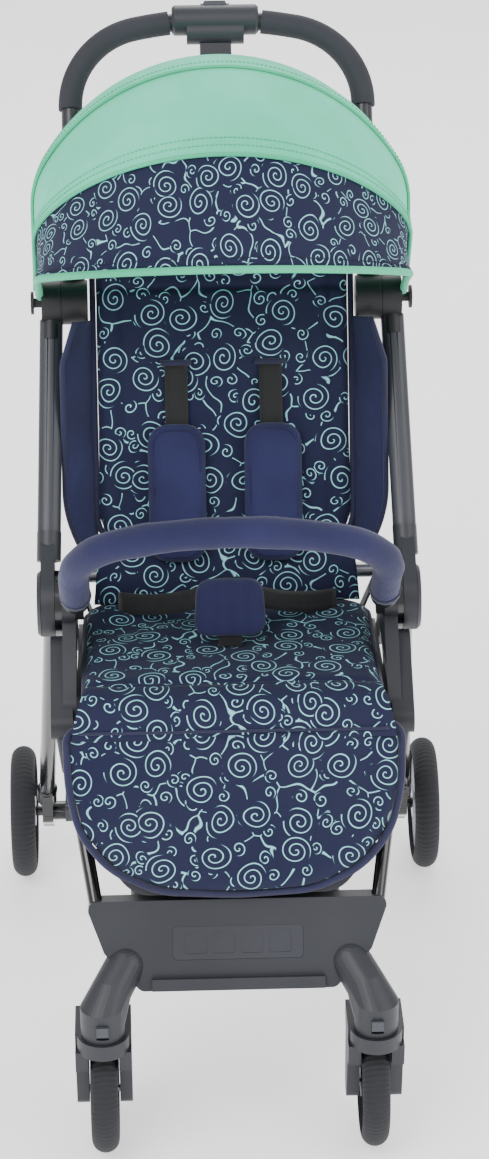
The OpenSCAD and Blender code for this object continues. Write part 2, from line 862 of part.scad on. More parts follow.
module side_wings() {
    wing_x = back_w / 2 + soft;
    wing_to = side_tube_joint_x - side_tube_r - 1.5;
    wing_len = 155;
    color("#2e3160") home() both() leaning(back_hinge, back_lean) {
        hull() {
            translate([wing_x, 95, 8]) cube([12, wing_len, 20]);
            translate([wing_to - 4, 105, 24]) cube([4, wing_len - 14, 34]);
        }
        translate([wing_x, 30, 8]) cube([14, 70, 30]);
    }
}

strap_x = 56;
strap_w = 24;

module shoulder_harness() {
    pad_w = 60;
    color("#2e3160") home() leaning(back_hinge, back_lean) both() {
        translate([strap_x - strap_w / 2, 155, pad_face + soft]) cube([strap_w, 68, 2]);
        translate([strap_x - 6, 88, pad_face + soft]) tile(pad_w, 146, 22, 16);
    }
}

// ---------- seat buckle ----------

crotch = seat_rear + 126 * seat_dir + [0, 4];
crotch_lean = 78;
crotch_t = 20;
crotch_roll = 40;

module crotch_pad() {
    color("#2e3160") home() leaning(crotch, crotch_lean) {
        translate([0, 42, 0]) tile(74, 62, 16, crotch_t);
        translate([-12, 2, 8]) cube([24, 20, 3]);
        translate([-crotch_roll / 2, 0, crotch_t - 3]) cube([crotch_roll, 14, 3]);
        rod([-crotch_roll / 2, 0, crotch_t], [crotch_roll / 2, 0, crotch_t], 3);
    }
}

module buckle() {
    color("#141416") home() leaning(crotch, crotch_lean) difference() {
        translate([0, 50, -12 - soft]) tile(40, 36, 8, 12);
        translate([0, 50, -12 - soft - 1]) tile(16.4, 16.4, 4, 5);
    }
}

module buckle_button() {
    color("#5b6068") home() leaning(crotch, crotch_lean) translate([0, 50, -12 - soft - 2])
        tile(16, 16, 3.8, 4);
}

module waist_straps() {
    color("#141416") home() both() hull() {
        translate([20 + soft, crotch.x + 14, crotch.y + 38]) cube([2, 3, 22]);
        translate([112, seat_rear.x - 30, seat_rear.y + 2.5]) cube([2, 3, 22]);
    }
}

// ---------- leg rest ----------

module leg_outline(w) {
    offset(r = 34) offset(delta = -34)
        polygon([[-w / 2, 8], [w / 2, 8], [w / 2 - 12, leg_len - 40], [w / 2 - 48, leg_len],
            [48 - w / 2, leg_len], [12 - w / 2, leg_len - 40]]);
}

leg_board_t = 5;
leg_pad_t = 14;

module leg_rest_board() {
    knuckle_x = 88;
    color("#3e4049") home() difference() {
        union() {
            leaning(leg_hinge, leg_lean) mirror([0, 0, 1]) translate([0, 0, 5])
                linear_extrude(leg_board_t) leg_outline(leg_w - 36);
            both() slab(knuckle_x, 22)
                link(leg_hinge, leg_bar_r + 3, leg_hinge + 26 * polar(leg_lean), 6);
        }
        both() cross_bar(leg_hinge, leg_bar_r + run, knuckle_x - 1, knuckle_x + 23);
    }
}

module leg_rest_pad() {
    color("#23305a") home() leaning(leg_hinge, leg_lean) mirror([0, 0, 1])
        translate([0, 0, 5 + leg_board_t + soft]) linear_extrude(leg_pad_t) leg_outline(leg_w);
}

// ---------- bumper bar ----------

bumper_half = housing_in - 1;                     // middle of the bar's straight ends
bumper_start = 34;

module bumper_bar() {
    color("#3c3d6c") home() leaning(bumper_pivot, bumper_lean)
        arch_tube(bumper_half, bumper_len, bumper_start, bumper_len - 104, 90, bumper_d / 2);
}

module bumper_ends() {
    color("#2a2b30") home() both() difference() {
        union() {
            slab(housing_in - side_gap - bumper_tongue_w, bumper_tongue_w)
                link(bumper_pivot, 11, bumper_pivot + (bumper_start - 11) * polar(bumper_lean), 9);
            leaning(bumper_pivot, bumper_lean)
                rod([bumper_half, bumper_start - 13, 0], [bumper_half, bumper_start - soft, 0], 14);
        }
        slab(housing_in - side_gap, 40) translate(bumper_pivot) circle(bumper_start - 14);
    }
    color("#2a2b30") home() both()
        cross_bar(bumper_pivot, bumper_pin_r, housing_in - side_gap - 2,
            housing_in + housing_w - 0.6);
}

hinge_housings();
pivot_pins();
pivot_caps();
front_tubes();
footboard();
footboard_insert();
front_arm_left();
front_arm_right();
seat_frame();
seat_pad();
basket();
basket_frame();
basket_straps();
waist_straps();
upper_hubs();
side_tubes();
canopy_joints();
canopy_pins();
handle_hubs();
handle_tube();
handle_grips();
handle_block();
handle_tongue();
release_button();
canopy_rear();
canopy_mid_hoop();
canopy_top();
canopy_front_hoop();
canopy_front_panel();
rear_leg_left();
rear_leg_right();
rear_brackets();
rear_axle();
brake_pedal();
rear_tyre_left();
rear_rim_left();
rear_tyre_right();
rear_rim_right();
caster_fork_left();
caster_fork_right();
front_axle_left();
front_axle_right();
caster_lock_left();
caster_lock_right();
front_tyre_left();
front_rim_left();
front_tyre_right();
front_rim_right();
back_hinge_bar();
seat_back_frame();
seat_back_pad();
side_wings();
shoulder_harness();
leg_rest_board();
leg_rest_pad();
bumper_bar();
bumper_ends();
crotch_pad();
buckle();
buckle_button();
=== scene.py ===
"""Finishes and soft goods of a folding baby stroller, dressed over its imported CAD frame.

Everything is in metres in the frame of the CAD model: X across the stroller, -Y towards its
front and Z up from the ground.
"""

from __future__ import annotations

import json
import logging
import math
import random
from collections.abc import Callable, Sequence
from dataclasses import dataclass, field, replace
from enum import Enum

import bmesh
import bpy
from mathutils import Matrix, Vector

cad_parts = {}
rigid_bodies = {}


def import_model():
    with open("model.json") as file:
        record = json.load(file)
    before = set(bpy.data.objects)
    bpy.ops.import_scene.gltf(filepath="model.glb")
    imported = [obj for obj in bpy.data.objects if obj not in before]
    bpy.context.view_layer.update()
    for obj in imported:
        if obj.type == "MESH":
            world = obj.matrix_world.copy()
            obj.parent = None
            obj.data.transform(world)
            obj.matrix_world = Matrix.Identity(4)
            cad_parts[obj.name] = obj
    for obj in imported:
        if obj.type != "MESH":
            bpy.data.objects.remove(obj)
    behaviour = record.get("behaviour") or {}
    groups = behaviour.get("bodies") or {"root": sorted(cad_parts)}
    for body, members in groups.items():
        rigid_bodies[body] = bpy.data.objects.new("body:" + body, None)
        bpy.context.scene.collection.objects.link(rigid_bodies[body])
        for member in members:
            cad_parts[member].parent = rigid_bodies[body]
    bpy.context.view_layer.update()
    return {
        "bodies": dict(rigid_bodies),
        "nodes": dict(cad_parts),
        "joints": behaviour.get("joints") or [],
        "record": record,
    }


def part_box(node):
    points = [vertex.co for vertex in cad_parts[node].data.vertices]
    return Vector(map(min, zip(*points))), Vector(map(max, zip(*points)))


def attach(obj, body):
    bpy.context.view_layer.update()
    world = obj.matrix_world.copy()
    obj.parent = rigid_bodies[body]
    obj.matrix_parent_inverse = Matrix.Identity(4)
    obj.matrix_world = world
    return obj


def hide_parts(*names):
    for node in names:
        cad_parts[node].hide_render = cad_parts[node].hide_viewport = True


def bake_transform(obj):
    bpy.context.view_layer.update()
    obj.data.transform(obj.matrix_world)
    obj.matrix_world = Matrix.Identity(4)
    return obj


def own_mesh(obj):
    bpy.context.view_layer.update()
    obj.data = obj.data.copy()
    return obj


LOG = logging.getLogger("stroller")
MM = 0.001  # metres in a millimetre
KEEP_EDGE = 0.05  # share of a pad's sideways shrink that its sewn edge lets through
SWELL_FRAMES = 20  # simulated frames until a pad has filled
SWELL_PRESSURE = 4.0  # air pressure inside a pad
SHARP_ANGLE = 38.0  # faces that meet more steeply keep a crisp edge, in degrees
TREAD_BLOCKS = 72.0  # tread blocks in a full turn of a tyre
TREAD_SKEW = 90.0  # slant of a tread block: radians of its wave per metre across
TREAD_FROM = (0.055, 0.06)  # distances from the axle where the tread fades in
THREAD = 0.0009  # width of a sewn thread
LOOSE_CLOTH = 0.0016  # thickness of the skirt and the apron
SIDES = ((-1, "left"), (1, "right"))


# ---------- colour and nodes ----------


def linear(code: str) -> tuple[float, float, float, float]:
    """Turns an sRGB hex colour into linear light.

    Args:
        code: Six hex digits, with or without a leading hash.

    Returns:
        Red, green, blue and full alpha for a colour socket.
    """
    parts = [int(code.lstrip("#")[i : i + 2], 16) / 255 for i in (0, 2, 4)]
    return (*(c / 12.92 if c <= 0.04045 else ((c + 0.055) / 1.055) ** 2.4 for c in parts), 1.0)


def add(tree: bpy.types.NodeTree, kind: str, inputs: dict | None = None,
        **settings: object) -> bpy.types.Node:
    """Adds one node.

    Args:
        tree: Node tree of the material.
        kind: Blender's name of the node type.
        inputs: Socket name or index to a value, or to an output socket to link.
        settings: Properties of the node.

    Returns:
        The new node.
    """
    made = tree.nodes.new(kind)
    for name, value in settings.items():
        setattr(made, name, value)
    for key, value in (inputs or {}).items():
        if isinstance(value, bpy.types.NodeSocket):
            tree.links.new(value, made.inputs[key])
        else:
            made.inputs[key].default_value = value
    return made


def calc(tree: bpy.types.NodeTree, how: str, a: object, b: object = 0.0) -> bpy.types.NodeSocket:
    """Returns the output of a Math node on two values or sockets."""
    return add(tree, "ShaderNodeMath", {0: a, 1: b}, operation=how).outputs[0]


def ramp(tree: bpy.types.NodeTree, value: object, low: float, high: float,
         to: tuple[float, float]) -> object:
    """Returns value mapped from low..high to the pair in to, and clamped."""
    spec = {"Value": value, "From Min": low, "From Max": high, "To Min": to[0], "To Max": to[1]}
    return add(tree, "ShaderNodeMapRange", spec).outputs["Result"]


class Texture(Enum):
    """How a surface was made, which sets its pattern."""

    MOULDED = "moulded"
    PAINTED = "painted"
    BRUSHED = "brushed"
    FOAM = "foam"
    TREAD = "tread"
    WOVEN = "woven"
    WEBBING = "webbing"
    PRINTED = "printed"


@dataclass(frozen=True)
class Finish:
    """One finish: what the surface is, its colours and its real grain.

    Attributes:
        name: Plain name of the material.
        texture: How the surface was made.
        colour: Main sRGB colour.
        shade: Second sRGB colour of its slow variation, or of a print.
        rough: Roughness.
        grain_mm: Size of a thread, grain or pore.
        relief_mm: Height of that grain.
        metallic: Metal share.
        coat: Clear coat share.
        sheen: Cloth sheen share.
        centre: Middle of a wheel in side view, for a tread.
    """

    name: str
    texture: Texture
    colour: str
    shade: str
    rough: float
    grain_mm: float
    relief_mm: float
    metallic: float = 0.0
    coat: float = 0.0
    sheen: float = 0.0
    centre: tuple[float, float] = (0.0, 0.0)

    def material(self) -> bpy.types.Material:
        """Returns this finish's material, made once."""
        known = bpy.data.materials.get(self.name)
        if known:
            return known
        mat = bpy.data.materials.new(self.name)
        mat.use_nodes = True
        tree = mat.node_tree
        tree.nodes.clear()
        place = add(tree, "ShaderNodeTexCoord").outputs["Object"]
        cloth = self.texture in (Texture.WOVEN, Texture.WEBBING, Texture.PRINTED)
        slow = add(tree, "ShaderNodeTexNoise",
                   {"Vector": place, "Scale": 9.0, "Detail": 4.0}).outputs["Fac"]
        tint = ramp(tree, slow, 0.35, 0.65, (0.0, 1.0))
        if self.texture is Texture.PRINTED:
            tint = self.scrolls(tree)
        blend = add(tree, "ShaderNodeMix", {0: tint, 6: linear(self.colour), 7: linear(self.shade)},
                    data_type="RGBA")
        grain = self.grain(tree, place)
        # painted shade: the colour is darkened where the grain is low, by up to 14 % on cloth and 5
        # % elsewhere, standing in for shade in the hollows of the weave, pores and tread
        painted_hollow_shade = ramp(tree, grain, 0.0, 1.0, (0.86 if cloth else 0.95, 1.0))
        colour = add(tree, "ShaderNodeMix", {0: 1.0, 6: blend.outputs[2], 7: painted_hollow_shade},
                     data_type="RGBA",
                     blend_type="MULTIPLY").outputs[2]
        height = calc(tree, "MULTIPLY", grain, self.relief_mm * MM)
        if cloth:
            # loose cloth also has soft folds a few centimetres apart
            fold = add(tree, "ShaderNodeTexNoise",
                       {"Vector": place, "Scale": 22.0, "Detail": 2.0}).outputs["Fac"]
            height = calc(tree, "ADD", height, calc(tree, "MULTIPLY", fold, 2.2 * MM))
        bump = add(tree, "ShaderNodeBump", {"Height": height, "Distance": 1.0, "Strength": 0.9})
        rough = ramp(tree, slow, 0.2, 0.8,
                     (max(self.rough - 0.06, 0.02), min(self.rough + 0.06, 1.0)))
        shader = add(tree, "ShaderNodeBsdfPrincipled", {
            "Base Color": colour, "Roughness": rough, "Metallic": self.metallic,
            "Normal": bump.outputs[0],
            "Coat Weight": self.coat, "Coat Roughness": 0.12, "Sheen Weight": self.sheen,
            "Sheen Roughness": 0.45,
        })
        add(tree, "ShaderNodeOutputMaterial", {"Surface": shader.outputs[0]})
        return mat

    def grain(self, tree: bpy.types.NodeTree, place: bpy.types.NodeSocket) -> bpy.types.NodeSocket:
        """Builds the fine relief of the surface.

        Args:
            tree: Node tree of the material.
            place: Object coordinates.

        Returns:
            A socket from 0 to 1.
        """
        per_m = 1 / (self.grain_mm * MM)
        if self.texture in (Texture.WOVEN, Texture.WEBBING, Texture.PRINTED):
            part = add(tree, "ShaderNodeSeparateXYZ", {0: place})
            rise = calc(tree, "ADD", part.outputs["Y"], part.outputs["Z"])
            if self.texture is Texture.WEBBING:
                rise = calc(tree, "ADD", rise, part.outputs["X"])
            warp = calc(tree, "SINE", calc(tree, "MULTIPLY", part.outputs["X"], math.pi * per_m))
            weft = calc(tree, "SINE", calc(tree, "MULTIPLY", rise, math.pi * per_m))
            return calc(tree, "ABSOLUTE", calc(tree, "MULTIPLY", warp, weft))
        if self.texture is Texture.BRUSHED:
            drawn = add(tree, "ShaderNodeMapping", {"Vector": place, "Scale": (0.04, 1.0, 1.0)})
            place = drawn.outputs[0]
        if self.texture is Texture.FOAM:
            return add(tree, "ShaderNodeTexVoronoi",
                       {"Vector": place, "Scale": per_m}).outputs["Distance"]
        if self.texture is Texture.TREAD:
            moved = add(tree, "ShaderNodeVectorMath", {0: place, 1: (0.0, *self.centre)},
                        operation="SUBTRACT")
            part = add(tree, "ShaderNodeSeparateXYZ", {0: moved.outputs[0]})
            turn = calc(tree, "ARCTAN2", part.outputs["Z"], part.outputs["Y"])
            skew = calc(tree, "MULTIPLY", part.outputs["X"], TREAD_SKEW)
            wave = calc(tree, "SINE",
                        calc(tree, "ADD", calc(tree, "MULTIPLY", turn, TREAD_BLOCKS), skew))
            far = add(tree, "ShaderNodeVectorMath", {0: moved.outputs[0]},
                      operation="LENGTH").outputs["Value"]
            return calc(tree, "MULTIPLY", ramp(tree, wave, -0.4, 0.4, (0.0, 1.0)),
                        ramp(tree, far, *TREAD_FROM, (0.0, 1.0)))
        return add(tree, "ShaderNodeTexNoise",
                   {"Vector": place, "Scale": per_m, "Detail": 3.0}).outputs["Fac"]

    def scrolls(self, tree: bpy.types.NodeTree) -> bpy.types.NodeSocket:
        """Draws pale scrolls over the cloth, each winding about the middle of its own cell.

        Args:
            tree: Node tree of the material.

        Returns:
            A mask that is 1 on the lines.
        """
        flat = add(tree, "ShaderNodeUVMap", uv_map="UVMap").outputs[0]
        plain = self.wander(tree, flat, 26.0, 0.003)
        masks, outside = [], 1.0
        # large scrolls about 35 mm across, then small curls of 15 mm, in lines of about 1 mm
        for cells, pitch, reach, width in ((23.0, 0.0062, 0.0172, 0.085),
                                           (40.0, 0.0046, 0.0078, 0.11)):
            cell = add(tree, "ShaderNodeTexVoronoi",
                       {"Vector": plain, "Scale": cells, "Randomness": 0.75},
                       voronoi_dimensions="2D")
            off = add(tree, "ShaderNodeVectorMath", {0: plain, 1: cell.outputs["Position"]},
                      operation="SUBTRACT")
            part = add(tree, "ShaderNodeSeparateXYZ", {0: off.outputs[0]})
            turn = calc(tree, "DIVIDE", calc(tree, "ARCTAN2", part.outputs["Y"], part.outputs["X"]),
                        math.tau)
            pick = add(tree, "ShaderNodeSeparateColor", {0: cell.outputs["Color"]})
            hand = calc(tree, "MULTIPLY", calc(tree, "GREATER_THAN", pick.outputs[0], 0.5), 2.0)
            turn = calc(tree, "MULTIPLY", turn, calc(tree, "SUBTRACT", hand, 1.0))
            far = add(tree, "ShaderNodeVectorMath", {0: off.outputs[0]},
                      operation="LENGTH").outputs["Value"]
            phase = calc(tree, "ADD", calc(tree, "DIVIDE", far, pitch),
                         calc(tree, "ADD", turn, pick.outputs[1]))
            near = calc(tree, "ABSOLUTE", calc(tree, "SUBTRACT", calc(tree, "FRACT", phase), 0.5))
            line = ramp(tree, near, width - 0.03, width + 0.03, (1.0, 0.0))
            # the outermost turn ends part of the way round, where its stem leaves
            size = calc(tree, "MULTIPLY",
                        calc(tree, "ADD", calc(tree, "MULTIPLY", turn, 0.22), 0.89), reach)
            inside = calc(tree, "LESS_THAN", far, size)
            masks.append(calc(tree, "MULTIPLY", calc(tree, "MULTIPLY", line, inside), outside))
            clear = calc(tree, "GREATER_THAN", far, reach * 1.08)
            outside = calc(tree, "MULTIPLY", clear, outside)
        stem_place = self.wander(tree, flat, 42.0, 0.011)
        stem = add(tree, "ShaderNodeTexVoronoi",
                   {"Vector": stem_place, "Scale": 27.0, "Randomness": 0.9},
                   voronoi_dimensions="2D", feature="DISTANCE_TO_EDGE")
        stems = ramp(tree, stem.outputs["Distance"], 0.010, 0.026, (1.0, 0.0))
        masks.append(calc(tree, "MULTIPLY", stems, outside))
        return calc(tree, "MAXIMUM", masks[0], calc(tree, "MAXIMUM", masks[1], masks[2]))

    def wander(self, tree: bpy.types.NodeTree, flat: object, scale: float,
               reach: float) -> bpy.types.NodeSocket:
        """Bends a flat place by slow noise, so that drawn lines curve.

        Args:
            tree: Node tree of the material.
            flat: UV place in metres.
            scale: Bends in a metre.
            reach: Farthest shift.

        Returns:
            The shifted place.
        """
        noise = add(tree, "ShaderNodeTexNoise", {"Vector": flat, "Scale": scale, "Detail": 0.0},
                    noise_dimensions="2D")
        middle = add(tree, "ShaderNodeVectorMath", {0: noise.outputs["Color"], 1: (0.5, 0.5, 0.5)},
                     operation="SUBTRACT")
        shift = add(tree, "ShaderNodeVectorMath", {0: middle.outputs[0], 3: reach * 2},
                    operation="SCALE")
        return add(tree, "ShaderNodeVectorMath", {0: flat, 1: shift.outputs[0]},
                   operation="ADD").outputs[0]


# Moulded nylon and ABS: fine spark-eroded grain, so highlights are broad and soft.
PLASTIC_DARK = Finish("graphite_nylon", Texture.MOULDED, "#24262c", "#2a2c33", 0.48, 0.7, 0.05)
PLASTIC_MID = Finish("grey_abs", Texture.MOULDED, "#2c2d34", "#32333b", 0.42, 0.6, 0.04)
JOINT_BLACK = Finish("black_nylon", Texture.MOULDED, "#121316", "#17181c", 0.5, 0.7, 0.06)
BUTTON_GREY = Finish("button_abs", Texture.MOULDED, "#3b3f46", "#42464d", 0.4, 0.5, 0.03)
RIM_PALE = Finish("rim_polypropylene", Texture.MOULDED, "#b4b4c0", "#c2c2cc", 0.3, 0.5, 0.02)
RIM_DARK = Finish("rim_nylon", Texture.MOULDED, "#2c2d34", "#34353d", 0.4, 0.5, 0.03)
# Powder-coated tube: a glossy or satin skin over smooth metal, with a trace of orange peel.
TUBE_BLACK = Finish("gloss_black_paint", Texture.PAINTED, "#0b0b0d", "#101013", 0.2, 1.6, 0.02,
                    coat=0.6)
TUBE_GREY = Finish("satin_grey_paint", Texture.PAINTED, "#2e3037", "#34363e", 0.46, 1.2, 0.015,
                   coat=0.08)
TUBE_HANDLE = Finish("satin_charcoal_paint", Texture.PAINTED, "#232429", "#292a31", 0.38, 1.2, 0.02,
                     coat=0.15)
STEEL = Finish("zinc_plated_steel", Texture.BRUSHED, "#9a9ca0", "#a8aaae", 0.32, 0.4, 0.02,
               metallic=1.0)
# Closed-cell EVA foam: tiny pores give a dull, slightly pale skin.
GRIP_FOAM = Finish("eva_foam", Texture.FOAM, "#292a31", "#303139", 0.78, 1.1, 0.22)
TYRE_REAR = Finish("tyre_rear", Texture.TREAD, "#1f2024", "#26272b", 0.82, 1.0, 0.5)
TYRE_FRONT = Finish("tyre_front", Texture.TREAD, "#1e1f23", "#25262a", 0.82, 1.0, 0.5)
# Polyester cloth: threads drawn about twice their real 0.6 mm so that the weave shows.
MINT_CLOTH = Finish("mint_polyester", Texture.WOVEN, "#62eac2", "#4fdcb1", 0.85, 1.2, 0.16,
                    sheen=0.08)
MINT_TRIM = Finish("mint_piping", Texture.WEBBING, "#3ecf9d", "#33c08f", 0.78, 1.0, 0.2, sheen=0.2)
NAVY_CLOTH = Finish("navy_polyester", Texture.WOVEN, "#1f2250", "#171a42", 0.86, 1.2, 0.18,
                    sheen=0.12)
NAVY_SOFT = Finish("navy_fleece", Texture.WOVEN, "#1e2150", "#181a44", 0.9, 1.4, 0.2, sheen=0.15)
NAVY_TRIM = Finish("navy_piping", Texture.WEBBING, "#14163a", "#191c44", 0.75, 1.0, 0.2, sheen=0.2)
PRINT_CLOTH = Finish("scroll_print", Texture.PRINTED, "#0d1438", "#9adbe2", 0.9, 1.2, 0.14,
                     sheen=0.04)
WEBBING_BLACK = Finish("black_webbing", Texture.WEBBING, "#08080a", "#0d0d10", 0.7, 1.1, 0.25,
                       sheen=0.15)
BASKET_CLOTH = Finish("black_basket_cloth", Texture.WOVEN, "#0a0a0c", "#101013", 0.85, 1.8, 0.25,
                      sheen=0.15)
THREAD_PALE = Finish("pale_thread", Texture.WEBBING, "#4fd6ab", "#45c99f", 0.7, 0.6, 0.1)
THREAD_NAVY = Finish("navy_thread", Texture.WEBBING, "#101233", "#15183d", 0.7, 0.6, 0.1)
FLOOR_PAPER = Finish("pale_floor", Texture.MOULDED, "#f3f3f4", "#f0f0f2", 0.9, 3.0, 0.01)


# ---------- mesh helpers ----------


def as_object(name: str, bm: bmesh.types.BMesh, finish: Finish,
              closed: bool = True) -> bpy.types.Object:
    """Turns a bmesh into an object at the origin and frees it.

    Args:
        name: Name of the piece.
        bm: Mesh in the row frame.
        finish: Its finish.
        closed: Whether to turn its faces outwards.

    Returns:
        The new object.
    """
    if closed:
        bmesh.ops.recalc_face_normals(bm, faces=bm.faces)
    mesh = bpy.data.meshes.new(name)
    bm.to_mesh(mesh)
    bm.free()
    for poly in mesh.polygons:
        poly.use_smooth = True
    mesh.materials.append(finish.material())
    piece = bpy.data.objects.new(name, mesh)
    bpy.context.collection.objects.link(piece)
    return piece


def settle(piece: bpy.types.Object, kind: str, **settings: object) -> None:
    """Adds a modifier and applies it at once.

    Args:
        piece: Object to change.
        kind: Blender's modifier type.
        settings: Properties of the modifier.
    """
    mod = piece.modifiers.new(kind.lower(), kind)
    for name, value in settings.items():
        setattr(mod, name, value)
    bake(piece)


def bake(piece: bpy.types.Object) -> None:
    """Applies every modifier of a piece to its mesh."""
    graph = bpy.context.evaluated_depsgraph_get()
    graph.update()
    mesh = bpy.data.meshes.new_from_object(piece.evaluated_get(graph))
    old = piece.data
    piece.modifiers.clear()
    piece.data = mesh
    mesh.name = piece.name
    bpy.data.meshes.remove(old)
    for poly in mesh.polygons:
        poly.use_smooth = True


def tube(name: str, points: Sequence[Vector], radius: float, finish: Finish,
         loop: bool = False) -> bpy.types.Object:
    """Runs a round bar along points.

    Args:
        name: Name of the piece.
        points: Centreline in the row frame.
        radius: Bar radius.
        finish: Its finish.
        loop: Whether the bar closes on itself.

    Returns:
        The finished mesh object.
    """
    curve = bpy.data.curves.new(name, "CURVE")
    curve.dimensions = "3D"
    curve.bevel_depth = radius
    curve.bevel_resolution = 4
    curve.use_fill_caps = not loop
    line = curve.splines.new("POLY")
    line.points.add(len(points) - 1)
    for spot, place in zip(line.points, points):
        spot.co = (*place, 1.0)
    line.use_cyclic_u = loop
    holder = bpy.data.objects.new(name, curve)
    bpy.context.collection.objects.link(holder)
    graph = bpy.context.evaluated_depsgraph_get()
    mesh = bpy.data.meshes.new_from_object(holder.evaluated_get(graph))
    bpy.data.objects.remove(holder)
    bm = bmesh.new()
    bm.from_mesh(mesh)
    bpy.data.meshes.remove(mesh)
    bmesh.ops.remove_doubles(bm, verts=bm.verts, dist=1e-6)
    return as_object(name, bm, finish)


def grid(nu: int, nv: int, place: Callable[[float, float], Vector]) -> bmesh.types.BMesh:
    """Makes a grid and lays it on a surface.

    Args:
        nu: Steps along the first direction.
        nv: Steps along the second direction.
        place: Gives the point for two shares from 0 to 1.

    Returns:
        The open mesh.
    """
    bm = bmesh.new()
    bmesh.ops.create_grid(bm, x_segments=nu, y_segments=nv, size=0.5)
    for vert in bm.verts:
        vert.co = place(vert.co.x + 0.5, vert.co.y + 0.5)
    return bm


def cloth(name: str, steps: tuple[int, int], place: Callable[[float, float], Vector],
          finish: Finish, thick: float) -> bpy.types.Object:
    """Lays a sheet of cloth on a surface and gives it thickness.

    Args:
        name: Name of the piece.
        steps: Grid steps along the two directions.
        place: Gives the point for two shares from 0 to 1.
        finish: Its cloth.
        thick: Thickness, half to each side of the surface.

    Returns:
        The sheet.
    """
    piece = as_object(name, grid(*steps, place), finish, closed=False)
    settle(piece, "SOLIDIFY", thickness=thick, offset=0.0)
    return piece


def map_flat(piece: bpy.types.Object, across: Callable[[Vector], tuple[float, float]]) -> None:
    """Gives a piece a UV map in metres.

    Args:
        piece: Object to map.
        across: Gives the flat place of a point.
    """
    layer = piece.data.uv_layers.get("UVMap") or piece.data.uv_layers.new(name="UVMap")
    for loop in piece.data.loops:
        layer.data[loop.index].uv = across(piece.data.vertices[loop.vertex_index].co)


@dataclass(frozen=True)
class Lean:
    """A tilted plane across the stroller: X across, Y up the lean and Z out of its face.

    Attributes:
        y: Depth of its origin.
        z: Height of its origin.
        angle: Lean above the horizontal, in degrees.
        side: 1 where Z is to the left of the lean, -1 where it is to the right.
    """

    y: float
    z: float
    angle: float
    side: int = 1

    def at(self, x: float, along: float, out: float) -> Vector:
        """Returns the row-frame point for a place on this plane."""
        c, s = math.cos(math.radians(self.angle)), math.sin(math.radians(self.angle))
        return Vector((x, self.y + along * c - self.side * out * s,
                       self.z + along * s + self.side * out * c))

    def back(self, point: Vector) -> Vector:
        """Returns a row-frame point in this plane's own directions."""
        c, s = math.cos(math.radians(self.angle)), math.sin(math.radians(self.angle))
        dy, dz = point.y - self.y, point.z - self.z
        return Vector((point.x, dy * c + dz * s, self.side * (dz * c - dy * s)))

    def matrix(self) -> Matrix:
        """Returns the matrix from this plane's directions to the row frame."""
        cols = [self.at(1, 0, 0), self.at(0, 1, 0), self.at(0, 0, 1)]
        origin = self.at(0, 0, 0)
        made = Matrix.Translation(origin)
        for i, col in enumerate(cols):
            made.col[i] = (*(col - origin), 0.0)
        return made


def inflate(piece: bpy.types.Object, cap: float) -> None:
    """Swells a padded mesh like a filled cushion by cloth simulation.

    Args:
        piece: Closed mesh, remeshed evenly.
        cap: Farthest that a point may move.
    """
    rest = [v.co.copy() for v in piece.data.vertices]
    mod = piece.modifiers.new("swell", "CLOTH")
    mod.settings.quality = 4
    mod.settings.use_pressure = True
    mod.settings.uniform_pressure_force = SWELL_PRESSURE
    mod.settings.effector_weights.gravity = 0.0
    mod.collision_settings.use_collision = False
    scene = bpy.context.scene
    for frame in range(1, SWELL_FRAMES + 1):
        scene.frame_set(frame)
    bake(piece)
    scene.frame_set(1)
    for vert, old in zip(piece.data.vertices, rest):
        move = (vert.co - old) * Vector((KEEP_EDGE, KEEP_EDGE, 1.0))
        vert.co = old + move * min(1.0, cap / max(move.length, 1e-9))


@dataclass(frozen=True)
class Arch:
    """A bent bow: straight sides, round corners and a shallow crown.

    Attributes:
        half_width: Middle to a straight side.
        height: Origin to crown.
        corner: Corner radius.
        straight: Height where the corners start.
        foot: Height where the bow starts.
    """

    half_width: float
    height: float
    corner: float
    straight: float
    foot: float

    def at(self, share: float) -> tuple[float, float]:
        """Follows the bow from its left foot over the crown to the right one.

        Args:
            share: Part of the way, from 0 to 1.

        Returns:
            Distance across and height.
        """
        a, h, rc, y0 = self.half_width, self.height, self.corner, self.straight
        big = ((a - rc) ** 2 + (h - y0) ** 2 - rc * rc) / (2 * (h - y0 - rc))
        turn = math.atan2(y0 - h + big, a - rc)
        lengths = (y0 - self.foot, rc * turn, big * (math.pi / 2 - turn))
        side = -1 if share < 0.5 else 1
        left = (1 - abs(2 * share - 1)) * sum(lengths)
        if left < lengths[0]:
            return side * a, self.foot + left
        left -= lengths[0]
        if left < lengths[1]:
            return side * (a - rc + rc * math.cos(left / rc)), y0 + rc * math.sin(left / rc)
        angle = turn + (left - lengths[1]) / big
        return side * big * math.cos(angle), h - big + big * math.sin(angle)


